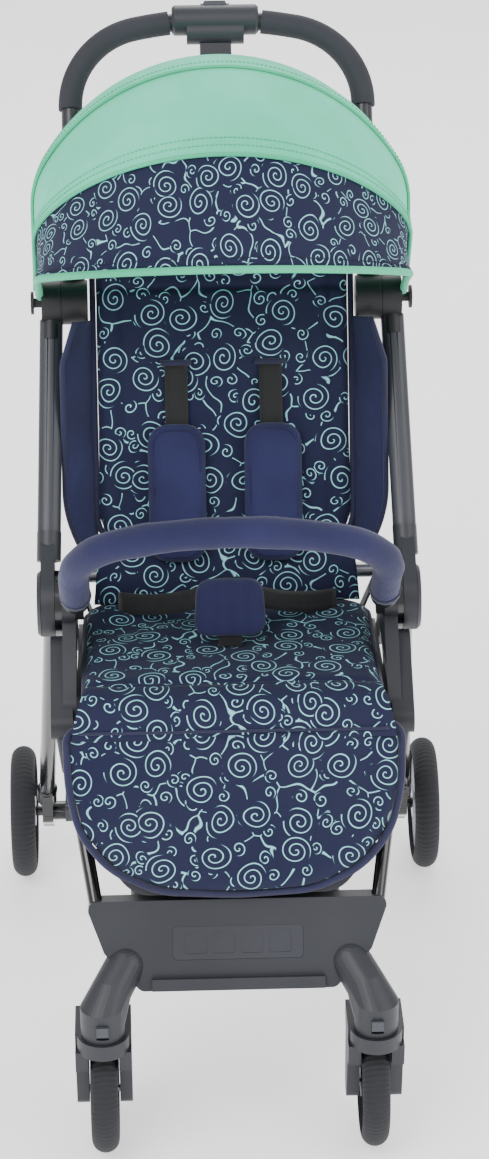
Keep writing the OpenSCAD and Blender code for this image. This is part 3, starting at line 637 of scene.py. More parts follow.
@dataclass
class Cushion:
    """A stuffed pad cut to an outline on a leaning plane.

    Attributes:
        name: Name of the piece.
        plane: Where it lies.
        outline: Corners of the cut, across and along the plane.
        corner: Corner radius.
        depth: Lowest and highest distance out of the plane.
        finish: Its cloth.
        voxel: Size of the remesh.
        crown: Extra rise of the middle.
        cap: Farthest that filling may push a point.
        seams: Sewn lines as (axis, place, depth, width) with axis 0 across or 1 along.
        lining: Cloth of its rear face, where that differs.
    """

    name: str
    plane: Lean
    outline: Sequence[tuple[float, float]]
    corner: float
    depth: tuple[float, float]
    finish: Finish
    voxel: float = 0.005
    crown: float = 0.004
    cap: float = 0.006
    seams: Sequence[tuple[int, float, float, float]] = ()
    lining: Finish | None = None

    def build(self) -> bpy.types.Object:
        """Cuts, fills and sews the pad.

        Returns:
            The finished piece, with its UV map in metres.
        """
        bm = bmesh.new()
        low, high = self.depth
        middle = sum((Vector(p) for p in self.outline), Vector((0, 0))) / len(self.outline)
        ring = [bm.verts.new((x, y, low)) for x, y in self.outline]
        face = bm.faces.new(ring)
        bmesh.ops.bevel(bm, geom=list(bm.verts), affect="VERTICES", offset=self.corner, segments=6,
                        profile=0.5,
                        material=-1)
        pushed = bmesh.ops.extrude_face_region(bm, geom=list(bm.faces))
        top = [v for v in pushed["geom"] if isinstance(v, bmesh.types.BMVert)]
        bmesh.ops.translate(bm, verts=top, vec=(0, 0, high - low))
        rims = [e for e in bm.edges if abs(e.verts[0].co.z - e.verts[1].co.z) < 1e-7]
        bmesh.ops.bevel(bm, geom=rims, affect="EDGES", offset=(high - low) * 0.36, segments=4,
                        profile=0.5,
                        material=-1)
        piece = as_object(self.name, bm, self.finish)
        settle(piece, "REMESH", mode="VOXEL", voxel_size=self.voxel)
        inflate(piece, self.cap)
        settle(piece, "SUBSURF", levels=1, render_levels=1)
        reach = max((Vector(p) - middle).length for p in self.outline)
        rng = random.Random(self.name)
        ripple = [(rng.uniform(14, 40), rng.uniform(14, 40), rng.uniform(0, 6.3)) for _ in range(4)]
        for vert in piece.data.vertices:
            x, y, z = vert.co
            share = max(0.0, (z - low) / (high - low))
            far = min(1.0, (Vector((x, y)) - middle).length / reach)
            vert.co.z += share * self.crown * (1 - far * far)
            vert.co.z += share * 0.0006 * sum(math.sin(x * a + y * b * 1.7 + c) for a, b,
                                              c in ripple)
            for axis, spot, deep, wide in self.seams:
                gap = (x, y)[axis] - spot
                vert.co.z -= share * deep * math.exp(-(gap / wide) ** 2)
        if self.lining:
            piece.data.materials.append(self.lining.material())
            for poly in piece.data.polygons:
                poly.material_index = int(poly.normal.z < 0.1)
        piece.data.transform(self.plane.matrix())
        if self.plane.side < 0:
            bm = bmesh.new()
            bm.from_mesh(piece.data)
            bmesh.ops.recalc_face_normals(bm, faces=bm.faces)
            bm.to_mesh(piece.data)
            bm.free()
        map_flat(piece, lambda p: self.plane.back(p).xy[:])
        return piece


def oblong(half: float, low: float, high: float, middle: float = 0.0) -> list[tuple[float, float]]:
    """Returns the corners of a rectangle about a line, as across and along."""
    return [(middle - half, low), (middle + half, low), (middle + half, high),
            (middle - half, high)]


def rounded_outline(outline: Sequence[tuple[float, float]], corner: float) -> list[Vector]:
    """Rounds a polygon's corners.

    Args:
        outline: Corners in order.
        corner: Radius.

    Returns:
        Points round the outline, without the last repeated.
    """
    bm = bmesh.new()
    bm.faces.new([bm.verts.new((x, y, 0)) for x, y in outline])
    bmesh.ops.bevel(bm, geom=list(bm.verts), affect="VERTICES", offset=corner, segments=8,
                    profile=0.5, material=-1)
    points = [v.co.copy() for v in bm.faces[:][0].verts]
    bm.free()
    return points


def stitches(name: str, points: Sequence[Vector], pitch: float, finish: Finish,
             out: Callable[[Vector], Vector]) -> bpy.types.Object:
    """Sews a row of short thread dashes along a line.

    Args:
        name: Name of the piece.
        points: Line on the cloth.
        pitch: Distance from one stitch to the next.
        finish: Thread.
        out: Direction away from the cloth at a point.

    Returns:
        One object with all of the stitches.
    """
    bm = bmesh.new()
    left = 0.0
    for a, b in zip(points, points[1:]):
        step = b - a
        while left < step.length:
            spot = a + step * (left / step.length)
            ex, ez = step.normalized(), out(spot).normalized()
            ey = ez.cross(ex).normalized()
            axes = (ex * pitch * 0.6, ey * THREAD, ex.cross(ey) * THREAD)
            frame = Matrix(axes).transposed().to_4x4()
            frame.translation = spot
            bmesh.ops.create_cube(bm, size=1.0, matrix=frame)
            left += pitch
        left -= step.length
    return as_object(name, bm, finish)


def ribbon(name: str, points: Sequence[Vector], sideways: Vector, width: float, thick: float,
           finish: Finish) -> bpy.types.Object:
    """Lays a flat strap along a line.

    Args:
        name: Name of the piece.
        points: Its middle line.
        sideways: Direction of its width.
        width: Strap width.
        thick: Strap thickness.
        finish: Webbing.

    Returns:
        The strap.
    """
    side = sideways.normalized() * width
    last = len(points) - 1

    def place(u: float, v: float) -> Vector:
        i = min(int(v * last), last - 1)
        return points[i].lerp(points[i + 1], v * last - i) + side * (u - 0.5)

    return cloth(name, (4, max(8, last)), place, finish, thick)


# ---------- the stroller ----------


@dataclass
class Frame:
    """Places of the CAD model's joints, and its dressed nodes.

    Attributes:
        joints: Joint name to its place.
    """

    joints: dict[str, Vector] = field(default_factory=dict)

    FINISHES = {
        PLASTIC_DARK: (
            "hinge_housings pivot_caps upper_hubs footboard front_arm_left front_arm_right "
            "seat_frame caster_fork_left caster_fork_right brake_pedal seat_back_frame "
            "leg_rest_board"
        ),
        PLASTIC_MID: "footboard_insert handle_block",
        JOINT_BLACK: "canopy_joints canopy_pins handle_hubs bumper_ends buckle",
        TUBE_BLACK: "front_tubes rear_leg_left rear_leg_right rear_brackets rear_axle basket_frame",
        TUBE_GREY: "side_tubes",
        TUBE_HANDLE: "handle_tube handle_tongue",
        GRIP_FOAM: "handle_grips",
        STEEL: "pivot_pins front_axle_left front_axle_right back_hinge_bar",
        RIM_PALE: "rear_rim_left rear_rim_right",
        RIM_DARK: "front_rim_left front_rim_right",
        BUTTON_GREY: "release_button caster_lock_left caster_lock_right buckle_button",
    }

    def dress(self, loaded: dict) -> None:
        """Gives each hard CAD node its finish.
        """
        for joint in loaded["record"]["behaviour"]["joints"]:
            if joint.get("pos_m"):
                self.joints[joint["name"]] = Vector(joint["pos_m"])
        pairs = [(finish, name) for finish,
                 names in self.FINISHES.items() for name in names.split()]
        for wheel, base in (("rear", TYRE_REAR), ("front", TYRE_FRONT)):
            hub = self.joints[f"{wheel}_wheel_left"]
            tyre = replace(base, centre=(hub.y, hub.z))
            pairs += [(tyre, f"{wheel}_tyre_left"), (tyre, f"{wheel}_tyre_right")]
        for finish, name in pairs:
            node = loaded["nodes"][name]
            node.data.materials.clear()
            node.data.materials.append(finish.material())
            LOG.info("dressed %s in %s", name, finish.name)


@dataclass
class Tubes:
    """Oval skins of the side tubes and the long covers below the main hinges.

    Attributes:
        oval: How much wider than deep a side tube is.
        cover_low: Height where a hinge cover ends.
        cover_high: Height where it meets the housing.
        cover_proud: How far the cover stands off the lower tube.
    """

    oval: float = 1.34
    cover_low: float = 0.368
    cover_high: float = 0.470
    cover_proud: float = 0.0034

    def copy(self, node: bpy.types.Object) -> bmesh.types.BMesh:
        """Returns a merged copy of a CAD node's mesh."""
        bm = bmesh.new()
        bm.from_mesh(node.data)
        bmesh.ops.remove_doubles(bm, verts=bm.verts, dist=1e-6)
        return bm

    def side_tubes(self, node: bpy.types.Object) -> None:
        """Widens the round side tubes to their oval section.

        Args:
            node: CAD node of the side tubes.
        """
        bm = self.copy(node)
        rows = [(abs(v.co.x), v.co.z) for v in bm.verts]
        mx, mz = (sum(r[i] for r in rows) / len(rows) for i in (0, 1))
        slope = sum((x - mx) * (z - mz) for x, z in rows) / sum((z - mz) ** 2 for _, z in rows)
        for vert in bm.verts:
            axis = math.copysign(mx + slope * (vert.co.z - mz), vert.co.x)
            vert.co.x = axis + (vert.co.x - axis) * self.oval
        piece = as_object("side_tube_skins", bm, TUBE_GREY, closed=False)
        self.harden(piece)
        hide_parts(node.name)
        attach(piece, "upper_frame")
        LOG.info("side tubes")

    def keep_outer_skins(self, bm: bmesh.types.BMesh) -> None:
        """Deletes all but the widest connected skin on each side.

        Args:
            bm: Cut mesh of both tubes.
        """
        free = set(bm.verts)
        skins: dict[bool, list[tuple[float, set]]] = {True: [], False: []}
        while free:
            edge = [free.pop()]
            skin = set(edge)
            while edge:
                near = {e.other_vert(v) for v in edge for e in v.link_edges} - skin
                skin |= near
                edge = list(near)
            free -= skin
            xs = [v.co.x for v in skin]
            skins[xs[0] > 0].append((max(xs) - min(xs), skin))
        for group in skins.values():
            group.sort(key=lambda row: row[0])
            for _, skin in group[:-1]:
                bmesh.ops.delete(bm, geom=list(skin), context="VERTS")

    def harden(self, piece: bpy.types.Object) -> None:
        """Keeps crisp edges where faces meet steeply."""
        piece.data.set_sharp_from_angle(angle=math.radians(SHARP_ANGLE))

    def covers(self, node: bpy.types.Object) -> None:
        """Makes the long plastic covers round the top of the lower tubes.

        Args:
            node: CAD node of the lower tubes.
        """
        bm = self.copy(node)
        for height, away in ((self.cover_low, (0, 0, -1)), (self.cover_high, (0, 0, 1))):
            geom = list(bm.verts) + list(bm.edges) + list(bm.faces)
            bmesh.ops.bisect_plane(bm, geom=geom, plane_co=(0, 0, height), plane_no=away,
                                   clear_outer=True)
        self.keep_outer_skins(bm)
        bmesh.ops.recalc_face_normals(bm, faces=bm.faces)
        bm.normal_update()
        for vert in bm.verts:
            vert.co += Vector((vert.normal.x, vert.normal.y, 0)) * self.cover_proud
        bmesh.ops.holes_fill(bm, edges=[e for e in bm.edges if e.is_boundary], sides=0)
        piece = as_object("hinge_covers", bm, PLASTIC_DARK)
        self.harden(piece)
        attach(piece, "root")
        LOG.info("hinge covers")


@dataclass
class Canopy:
    """Folding hood: three panels between hoops that turn about the handle joint.

    Attributes:
        joint: Place of the handle joint.
        half_width: Half its width beside the joint.
        radius: Joint to crown.
        step: How far each layer lies inside the next.
        straight: Height where the sides start to bend.
        corner: Radius of the bend.
        foot: Where the cloth starts beside the joint.
        cloth: Thickness of the cloth.
        rise: How far the front edge is drawn up beside the joint, in degrees.
        rise_from: Angle where that pull starts.
        rise_over: Angle that it takes to reach the full rise.
        rise_fade: Distance from the joint over which it fades.
        dip: How far the cloth sinks between its hoops.
        pull_depth: Depth of a pull line in it.
        map_reach: Radius that its flat map is unrolled at.
    """

    joint: Vector
    half_width: float = 0.1938
    radius: float = 0.2546
    step: float = 0.0026
    straight: float = 0.105
    corner: float = 0.092
    foot: float = 0.014
    cloth: float = 0.0012
    rise: float = 24.0
    rise_from: float = 121.0
    rise_over: float = 34.0
    rise_fade: float = 0.09
    dip: float = 0.0032
    pull_depth: float = 0.0014
    map_reach: float = 0.24

    def arch(self, share: float, inset: float) -> tuple[float, float]:
        """Follows the arch from the left foot over the crown to the right one.

        Args:
            share: Part of the way, from 0 to 1.
            inset: Distance inside the outermost layer.

        Returns:
            Distance across and distance from the joint.
        """
        bow = Arch(self.half_width - inset, self.radius - inset, self.corner - inset,
                   self.straight, self.foot)
        return bow.at(share)

    def spot(self, share: float, angle: float, inset: float) -> Vector:
        """Returns the point at a share of the arch turned to an angle in degrees."""
        x, far = self.arch(share, inset)
        # the front edge rises a little beside the joint, where the cloth is pulled up
        pull = max(0.0, (angle - self.rise_from) / self.rise_over)
        a = math.radians(angle - self.rise * pull * math.exp(-far / self.rise_fade))
        return self.joint + Vector((x, far * math.cos(a), far * math.sin(a)))

    def outward(self, point: Vector) -> Vector:
        """Returns the direction out of the hood at a point."""
        off = point - self.joint
        return Vector((off.x * 0.8, off.y, off.z))

    def panel(self, name: str, layer: int, angles: tuple[float, float], finish: Finish, body: str,
              node: str) -> None:
        """Cuts one panel and stretches it between its hoops.

        Args:
            name: Name of the piece.
            layer: 0 innermost to 2 outermost.
            angles: Its rear and front edge, in degrees.
            finish: Its cloth.
            body: CAD body that it rides on.
            node: CAD node that it replaces.
        """
        inset = (2 - layer) * self.step
        low, high = angles
        rng = random.Random(name)
        pulls = [(rng.uniform(0, 1), rng.uniform(-1, 1)) for _ in range(26)]

        def place(u: float, v: float) -> Vector:
            between = math.sin(math.pi * v)
            pull = sum(w * math.exp(-((u - c) * 30) ** 2) for c, w in pulls)
            near_side = abs(2 * u - 1) ** 3
            dip = between * (self.dip + self.pull_depth * pull * (0.35 + near_side))
            return self.spot(u, low + (high - low) * v, inset + dip)

        piece = cloth(name, (140, 26), place, finish, self.cloth)
        joint = self.joint

        def flat(p: Vector) -> tuple[float, float]:
            off = p - joint
            far = math.hypot(off.y, off.z)
            across = math.atan2(off.x, far - 0.05)
            return across * self.map_reach, math.atan2(off.z, off.y) * self.map_reach

        map_flat(piece, flat)
        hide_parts(node)
        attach(piece, body)
        LOG.info("canopy panel %s", name)

    def hoop(self, name: str, angle: float, inset: float, radius: float, finish: Finish,
             body: str) -> bpy.types.Object:
        """Sews a round piping over the arch.

        Args:
            name: Name of the piece.
            angle: Where it turns to, in degrees.
            inset: Distance inside the outermost layer.
            radius: Piping radius.
            finish: Its cloth.
            body: CAD body that it rides on.

        Returns:
            The piping.
        """
        points = [self.spot(i / 120, angle, inset) for i in range(121)]
        piece = tube(name, points, radius, finish)
        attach(piece, body)
        return piece

    def stitch_row(self, name: str, angle: float, inset: float, body: str, finish: Finish) -> None:
        """Sews one row of stitches over the arch at an angle in degrees."""
        points = [self.spot(0.04 + 0.92 * i / 160, angle, inset) for i in range(161)]
        row = stitches(name, points, 0.0045, finish, self.outward)
        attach(row, body)

    def build(self) -> None:
        """Makes the panels, hems, piping and stitching."""
        self.panel("canopy_rear_panel", 2, (60.0, 91.0), MINT_CLOTH, "handle", "canopy_rear")
        self.panel("canopy_top_panel", 1, (89.5, 124.0), MINT_CLOTH, "canopy_mid", "canopy_top")
        self.panel("canopy_print_panel", 0, (121.5, 152.0), PRINT_CLOTH, "canopy_front",
                   "canopy_front_panel")
        front = self.hoop("canopy_front_piping", 153.0, 2 * self.step + 0.0005, 0.0039, MINT_TRIM,
                          "canopy_front")
        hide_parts("canopy_front_hoop")
        middle = self.hoop("canopy_mid_piping", 124.2, self.step + 0.0004, 0.0022, MINT_TRIM,
                           "canopy_mid")
        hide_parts("canopy_mid_hoop")
        self.hoop("canopy_seam_piping", 91.2, 0.0006, 0.0016, MINT_TRIM, "handle")
        self.hoop("canopy_rear_binding", 60.2, 0.0008, 0.0024, MINT_TRIM, "handle")
        top = self.step - self.cloth / 2 - 0.0002
        for i, angle in enumerate((119.4, 121.6)):
            self.stitch_row(f"canopy_hem_stitches_{i}", angle, top, "canopy_mid", THREAD_PALE)
        self.stitch_row("canopy_seam_stitches", 88.4, -self.cloth / 2 - 0.0001, "handle",
                        THREAD_PALE)
        self.stitch_row("canopy_print_stitches", 150.2, 2 * self.step - self.cloth / 2,
                        "canopy_front", THREAD_NAVY)


@dataclass
class Seat:
    """Seat base, backrest, leg rest and harness.

    Attributes:
        pivot: Main folding pivot.
        back_hinge: Backrest hinge.
        leg_hinge: Leg rest hinge.
        seat_rear: Rear top edge of the base from the main pivot, back and up.
        seat_angle: Direction of the base from rear to front, in degrees.
        seat_size: Width, length and thickness of the base.
        back_angle: Lean of the backrest.
        back_size: Width, length and thickness of the backrest.
        back_from: Where the backrest pad starts above its hinge.
        back_out: Distance of its rear face from the hinge line.
        leg_angle: Direction of the leg rest.
        leg_size: Width, length and thickness of the leg rest.
        leg_out: Distance of its rear face from the hinge line.
    """

    pivot: Vector
    back_hinge: Vector
    leg_hinge: Vector
    seat_rear: tuple[float, float] = (0.085, -0.043)
    seat_angle: float = 176.0
    seat_size: tuple[float, float, float] = (0.300, 0.237, 0.022)
    back_angle: float = 70.0
    back_size: tuple[float, float, float] = (0.268, 0.414, 0.025)
    back_from: float = 0.026
    back_out: float = 0.0063
    leg_angle: float = 244.0
    leg_size: tuple[float, float, float] = (0.334, 0.176, 0.014)
    leg_out: float = 0.0103

    def base_plane(self) -> Lean:
        """Returns the plane of the seat base's top, rear edge first."""
        return Lean(self.pivot.y + self.seat_rear[0], self.pivot.z + self.seat_rear[1],
                    self.seat_angle, -1)

    def back_plane(self) -> Lean:
        """Returns the plane of the backrest's hinge line."""
        return Lean(self.back_hinge.y, self.back_hinge.z, self.back_angle)

    def leg_plane(self) -> Lean:
        """Returns the plane of the leg rest's hinge line, with Z to its front."""
        return Lean(self.leg_hinge.y, self.leg_hinge.z, self.leg_angle, -1)

    def sewn_edge(self, name: str, plane: Lean, outline: Sequence[tuple[float, float]],
                  corner: float, out: float,
                  radius: float, body: str) -> None:
        """Runs piping round a pad.

        Args:
            name: Name of the piece.
            plane: Plane of the pad.
            outline: Corners of the piping.
            corner: Corner radius.
            out: Height above the plane.
            radius: Piping radius.
            body: CAD body that it rides on.
        """
        points = [plane.at(p.x, p.y, out) for p in rounded_outline(outline, corner)]
        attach(tube(name, points, radius, NAVY_TRIM, loop=True), body)

    def base(self) -> None:
        """Makes the seat base pad."""
        w, length, t = self.seat_size
        outline = oblong(w / 2 - 0.002, -0.003, length - 0.005)
        pad = Cushion("seat_base_cushion", self.base_plane(), outline, 0.024, (-t + 0.002, -0.003),
                      PRINT_CLOTH,
                      crown=0.003, cap=0.004, seams=((1, 0.212, 0.003, 0.003),),
                      lining=NAVY_CLOTH).build()
        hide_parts("seat_pad")
        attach(pad, "root")
        self.sewn_edge("seat_base_piping", self.base_plane(), outline, 0.024, -t / 2, 0.003, "root")
        LOG.info("seat base")

    def backrest(self) -> None:
        """Makes the backrest pad with its headrest seam."""
        w, length, t = self.back_size
        y0, y1 = self.back_from, self.back_from + length
        outline = oblong(w / 2, y0, y1)
        inner = [(x * 0.985, y0 + 0.002 if y == y0 else y1 - 0.002) for x, y in outline]
        pad = Cushion("backrest_cushion", self.back_plane(), inner, 0.04,
                      (self.back_out + 0.001, self.back_out + t - 0.006),
                      PRINT_CLOTH, crown=0.002, cap=0.003,
                      seams=((1, 0.30, 0.004, 0.004), (0, -0.108, 0.003, 0.003),
                             (0, 0.108, 0.003, 0.003)),
                      lining=NAVY_CLOTH).build()
        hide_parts("seat_back_pad")
        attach(pad, "seat_back")
        self.sewn_edge("backrest_piping", self.back_plane(), outline, 0.04,
                       self.back_out + t * 0.45, 0.0032, "seat_back")
        LOG.info("backrest")

    def skirt(self) -> None:
        """Makes the loose cloth tail from the foot of the backrest to the seat."""
        plane, base = self.back_plane(), self.base_plane()
        half = self.back_size[0] / 2 - 0.001
        top = plane.at(0, self.back_from + 0.012, self.back_out + self.back_size[2] - 0.006)
        low = base.at(0, 0.016, 0.0045)

        def place(u: float, v: float) -> Vector:
            point = top.lerp(low, v)
            point.x = (2 * u - 1) * (half + 0.006 * v)
            point.y -= 0.007 * math.sin(math.pi * v) + 0.0012 * math.sin(u * 31) * v
            return point

        piece = cloth("backrest_skirt", (60, 14), place, PRINT_CLOTH, LOOSE_CLOTH)
        map_flat(piece, lambda p: plane.back(p).xy[:])
        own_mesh(piece)
        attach(piece, "seat_back")
        LOG.info("backrest skirt")

    def apron(self) -> None:
        """Makes the cloth that carries the seat cover over the leg rest hinge."""
        base, leg = self.base_plane(), self.leg_plane()
        wide, wide_low = self.seat_size[0] / 2 - 0.004, self.leg_size[0] / 2 - 0.006
        rear = base.at(0, self.seat_size[1] - 0.017, 0.0012)
        low = leg.at(0, 0.022, self.leg_out + self.leg_size[2] + 0.0016)
        bend = base.at(0, self.seat_size[1] + 0.012, 0.003)
        lip = leg.at(0, -0.006, self.leg_out + self.leg_size[2] + 0.006)

        def place(u: float, v: float) -> Vector:
            w = 1 - v
            point = rear * w**3 + bend * 3 * w * w * v + lip * 3 * w * v * v + low * v**3
            point.x = (2 * u - 1) * (wide + (wide_low - wide) * v)
            ripple = 0.0007 * math.sin(u * 47) * math.sin(math.pi * v)
            point += (point - self.leg_hinge).normalized() * ripple
            return point

        piece = cloth("seat_apron", (70, 20), place, PRINT_CLOTH, LOOSE_CLOTH)
        hinge = self.leg_hinge
        map_flat(piece, lambda p: (p.x, 0.030 * math.atan2(p.z - hinge.z, hinge.y - p.y)))
        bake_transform(piece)
        lift = (low - leg.at(0, 0.022, 0)) * 0.06
        line = [place(0.02 + 0.96 * i / 40, 0.9) + lift for i in range(41)]
        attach(tube("leg_rest_seam", line, 0.0014, NAVY_TRIM), "leg_rest")
        LOG.info("seat apron")

    def wings(self) -> None:
        """Makes the cloth sides that join the backrest to the side tubes."""
        plane = self.back_plane()
        low, high = 0.022, 0.268
        for side, word in SIDES:
            rng = random.Random(word)
            waves = [(rng.uniform(30, 90), rng.uniform(0, 6.3), rng.uniform(0.4, 1))
                     for _ in range(5)]

            def place(u: float, v: float, side: int = side, waves: list = waves) -> Vector:
                along = low + (high - low) * v
                wrinkle = sum(k * math.sin(along * f + p + 3 * u) for f, p, k in waves)
                wrinkle = wrinkle * 0.0021 * math.sin(math.pi * u)
                top = max(0.0, (v - 0.82) / 0.18)
                foot = max(0.0, 1 - max(0.0, along - 0.03) / 0.065) ** 2
                x = 0.1335 + (0.0325 - 0.014 * top - 0.0165 * foot) * u + wrinkle
                out = 0.012 + (0.046 - 0.018 * foot) * u ** 1.3 + 0.006 * math.sin(math.pi * u)
                out += wrinkle * 2
                return plane.at(side * x, along, out)

            piece = cloth(f"side_wing_{word}", (22, 80), place, NAVY_CLOTH, 0.003)
            settle(piece, "SUBSURF", levels=1, render_levels=1)
            map_flat(piece, lambda p: (p.x, p.z))
            edge = tube(f"side_wing_piping_{word}", [place(1.0, i / 40) for i in range(41)], 0.0028,
                        NAVY_TRIM)
            for one in (piece, edge):
                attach(one, "seat_back")
        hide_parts("side_wings")
        LOG.info("side wings")

    def leg_rest(self) -> None:
        """Makes the leg rest pad with its round lower corners."""
        w, length, t = self.leg_size
        half = [(w / 2, 0.009), (w / 2 - 0.002, 0.07), (w / 2 - 0.013, 0.115),
                (w / 2 - 0.042, 0.15),
                (w / 2 - 0.09, length - 0.004), (0.0, length)]
        outline = half + [(-x, y) for x, y in reversed(half[:-1])]
        inner = [(x * 0.984, 0.011 if y < 0.02 else y - 0.0025) for x, y in outline]
        pad = Cushion("leg_rest_cushion", self.leg_plane(), inner, 0.015,
                      (self.leg_out + 0.001, self.leg_out + t - 0.002),
                      PRINT_CLOTH, crown=0.003, cap=0.004, lining=NAVY_CLOTH).build()
        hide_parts("leg_rest_pad")
        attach(pad, "leg_rest")
        self.sewn_edge("leg_rest_piping", self.leg_plane(), outline, 0.016, self.leg_out + t * 0.55,
                       0.0037, "leg_rest")
        LOG.info("leg rest")

    def harness(self) -> None:
        """Makes the shoulder pads, their stitching and webbing, and the harness slots."""
        plane = self.back_plane()
        face = self.back_out + self.back_size[2]
        first = None
        for side, word in SIDES:
            x, w = side * 0.050, 0.060
            outline = oblong(w / 2, 0.016, 0.160, middle=x)
            pad = Cushion(f"shoulder_pad_{word}", plane, outline, 0.02,
                          (face + 0.001, face + 0.015), NAVY_SOFT,
                          voxel=0.004, crown=0.002, cap=0.003).build()
            inner = [(px - math.copysign(0.006, px - x), py + (0.006 if py < 0.1 else -0.006))
                     for px, py in outline]
            ring = rounded_outline(inner, 0.016)
            loop = [plane.at(p.x, p.y, face + 0.0165) for p in [*ring, ring[0]]]
            row = stitches(f"shoulder_pad_stitches_{word}", loop, 0.004, THREAD_NAVY,
                           lambda p: plane.at(0, 0, 1) - plane.at(0, 0, 0))
            run = [plane.at(side * 0.049, 0.15 + 0.072 * i / 10, face + 0.0045 - 0.004 * i / 10)
                   for i in range(11)]
            strap = ribbon(f"shoulder_webbing_{word}", run, Vector((1, 0, 0)), 0.024, 0.002,
                           WEBBING_BLACK)
            lip = [plane.at(side * 0.049 + dx, 0.223, face + 0.001)
                   for dx in (-0.016, -0.008, 0.0, 0.008, 0.016)]
            slot = tube(f"harness_slot_{word}", lip, 0.003, NAVY_TRIM)
            for one in (pad, row, strap, slot):
                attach(one, "seat_back")
            first = first or pad
        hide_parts("shoulder_harness")
        LOG.info("shoulder harness")

    def waist(self) -> None:
        """Makes the two waist straps from the buckle to the corners of the seat."""
        low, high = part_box("waist_straps")
        first = None
        for side, word in SIDES:
            start = Vector((side * 0.0205, low.y + 0.0015, high.z - 0.011))
            end = Vector((side * 0.113, high.y - 0.0015, low.z + 0.011))
            points = [start.lerp(end, i / 16) + Vector((0, 0, -0.006 * math.sin(math.pi * i / 16)))
                      for i in range(17)]
            strap = ribbon(f"waist_strap_{word}", points, Vector((0, 0.25, 1)), 0.022, 0.002,
                           WEBBING_BLACK)
            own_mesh(strap)
            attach(strap, "root")
            first = first or strap
        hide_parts("waist_straps")
        LOG.info("waist straps")

    def crotch(self) -> None:
        """Makes the gathered pad between the legs and its strap."""
        rear = self.base_plane()
        spot = rear.at(0, 0.126, 0.0)
        plane = Lean(spot.y, spot.z + 0.004, 78.0)
        w = 0.074
        outline = [(-w / 2, 0.012), (w / 2, 0.012), (w / 2 - 0.003, 0.072), (0.003 - w / 2, 0.072)]
        pad = Cushion("crotch_cushion", plane, outline, 0.015, (0.001, 0.018), NAVY_SOFT,
                      voxel=0.004, crown=0.002,
                      cap=0.003, seams=((0, -0.016, 0.0018, 0.004), (0, 0.0, 0.0018, 0.004),
                                        (0, 0.016, 0.0018, 0.004))).build()
        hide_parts("crotch_pad")
        strap = ribbon("crotch_webbing", [plane.at(0, 0.001 + 0.018 * i / 8, 0.0095)
                                          for i in range(9)], Vector((1, 0, 0)),
                       0.024, 0.0025, WEBBING_BLACK)
        for one in (pad, strap):
            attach(one, "crotch")
        LOG.info("crotch pad")

    def build(self) -> None:
        """Makes every part of the seat."""
        self.base()
        self.backrest()
        self.skirt()
        self.wings()
        self.leg_rest()
        self.apron()
        self.harness()
        self.waist()
        self.crotch()


@dataclass
class Bumper:
    """Padded bar in front of the seat, in a cloth sleeve.

    Attributes:
        pivot: Its folding joint.
        angle: Lean of the bar.
        half_width: Middle of its straight ends.
        reach: Pivot to crown.
        start: Where the sleeve starts.
        straight: Where its corners start.
        corner: Corner radius.
        radius: Sleeve radius.
    """

    pivot: Vector
    angle: float = 132.0
    half_width: float = 0.155
    reach: float = 0.195
    start: float = 0.034
    straight: float = 0.091
    corner: float = 0.090
    radius: float = 0.0158

    def line(self, count: int) -> list[tuple[float, float]]:
        """Returns points along the bar's middle, left to right, as across and along."""
        bow = Arch(self.half_width, self.reach, self.corner, self.straight, self.start)
        return [bow.at(i / count) for i in range(count + 1)]

    def build(self) -> None:
        """Makes the sleeve with its gathers, end bindings and seam."""
        plane = Lean(self.pivot.y, self.pivot.z, self.angle)
        line = [plane.at(x, y, 0) for x, y in self.line(150)]
        sleeve = tube("bumper_sleeve", line, self.radius - 0.0004, NAVY_SOFT)
        rng = random.Random("sleeve")
        gathers = [(rng.uniform(-0.19, 0.19), rng.uniform(0, 6.3), rng.uniform(0.3, 1.0))
                   for _ in range(60)]
        for vert in sleeve.data.vertices:
            local = plane.back(vert.co)
            turn = math.atan2(local.z, local.y - 0.09)
            run = local.x
            push = sum(k * math.exp(-((run - c) * 130) ** 2) * math.cos(turn - p) for c, p,
                       k in gathers)
            vert.co += sleeve.data.vertices[vert.index].normal * (0.0007 * push)
        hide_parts("bumper_bar")
        under = plane.at(0, -0.0115, -0.0108) - plane.at(0, 0, 0)
        seam_line = [plane.at(x, y, 0) + under for x, y in self.line(150)[6:-6]]
        seam = tube("bumper_seam", seam_line, 0.0009, NAVY_TRIM)
        pieces = [sleeve, seam]
        for side, word in SIDES:
            ends = [plane.at(side * self.half_width, self.start + d, 0)
                    for d in (0.0, 0.004, 0.008)]
            pieces.append(tube(f"bumper_binding_{word}", ends, self.radius + 0.0004, NAVY_TRIM))
        for one in pieces:
            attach(one, "bumper")
        LOG.info("bumper bar")


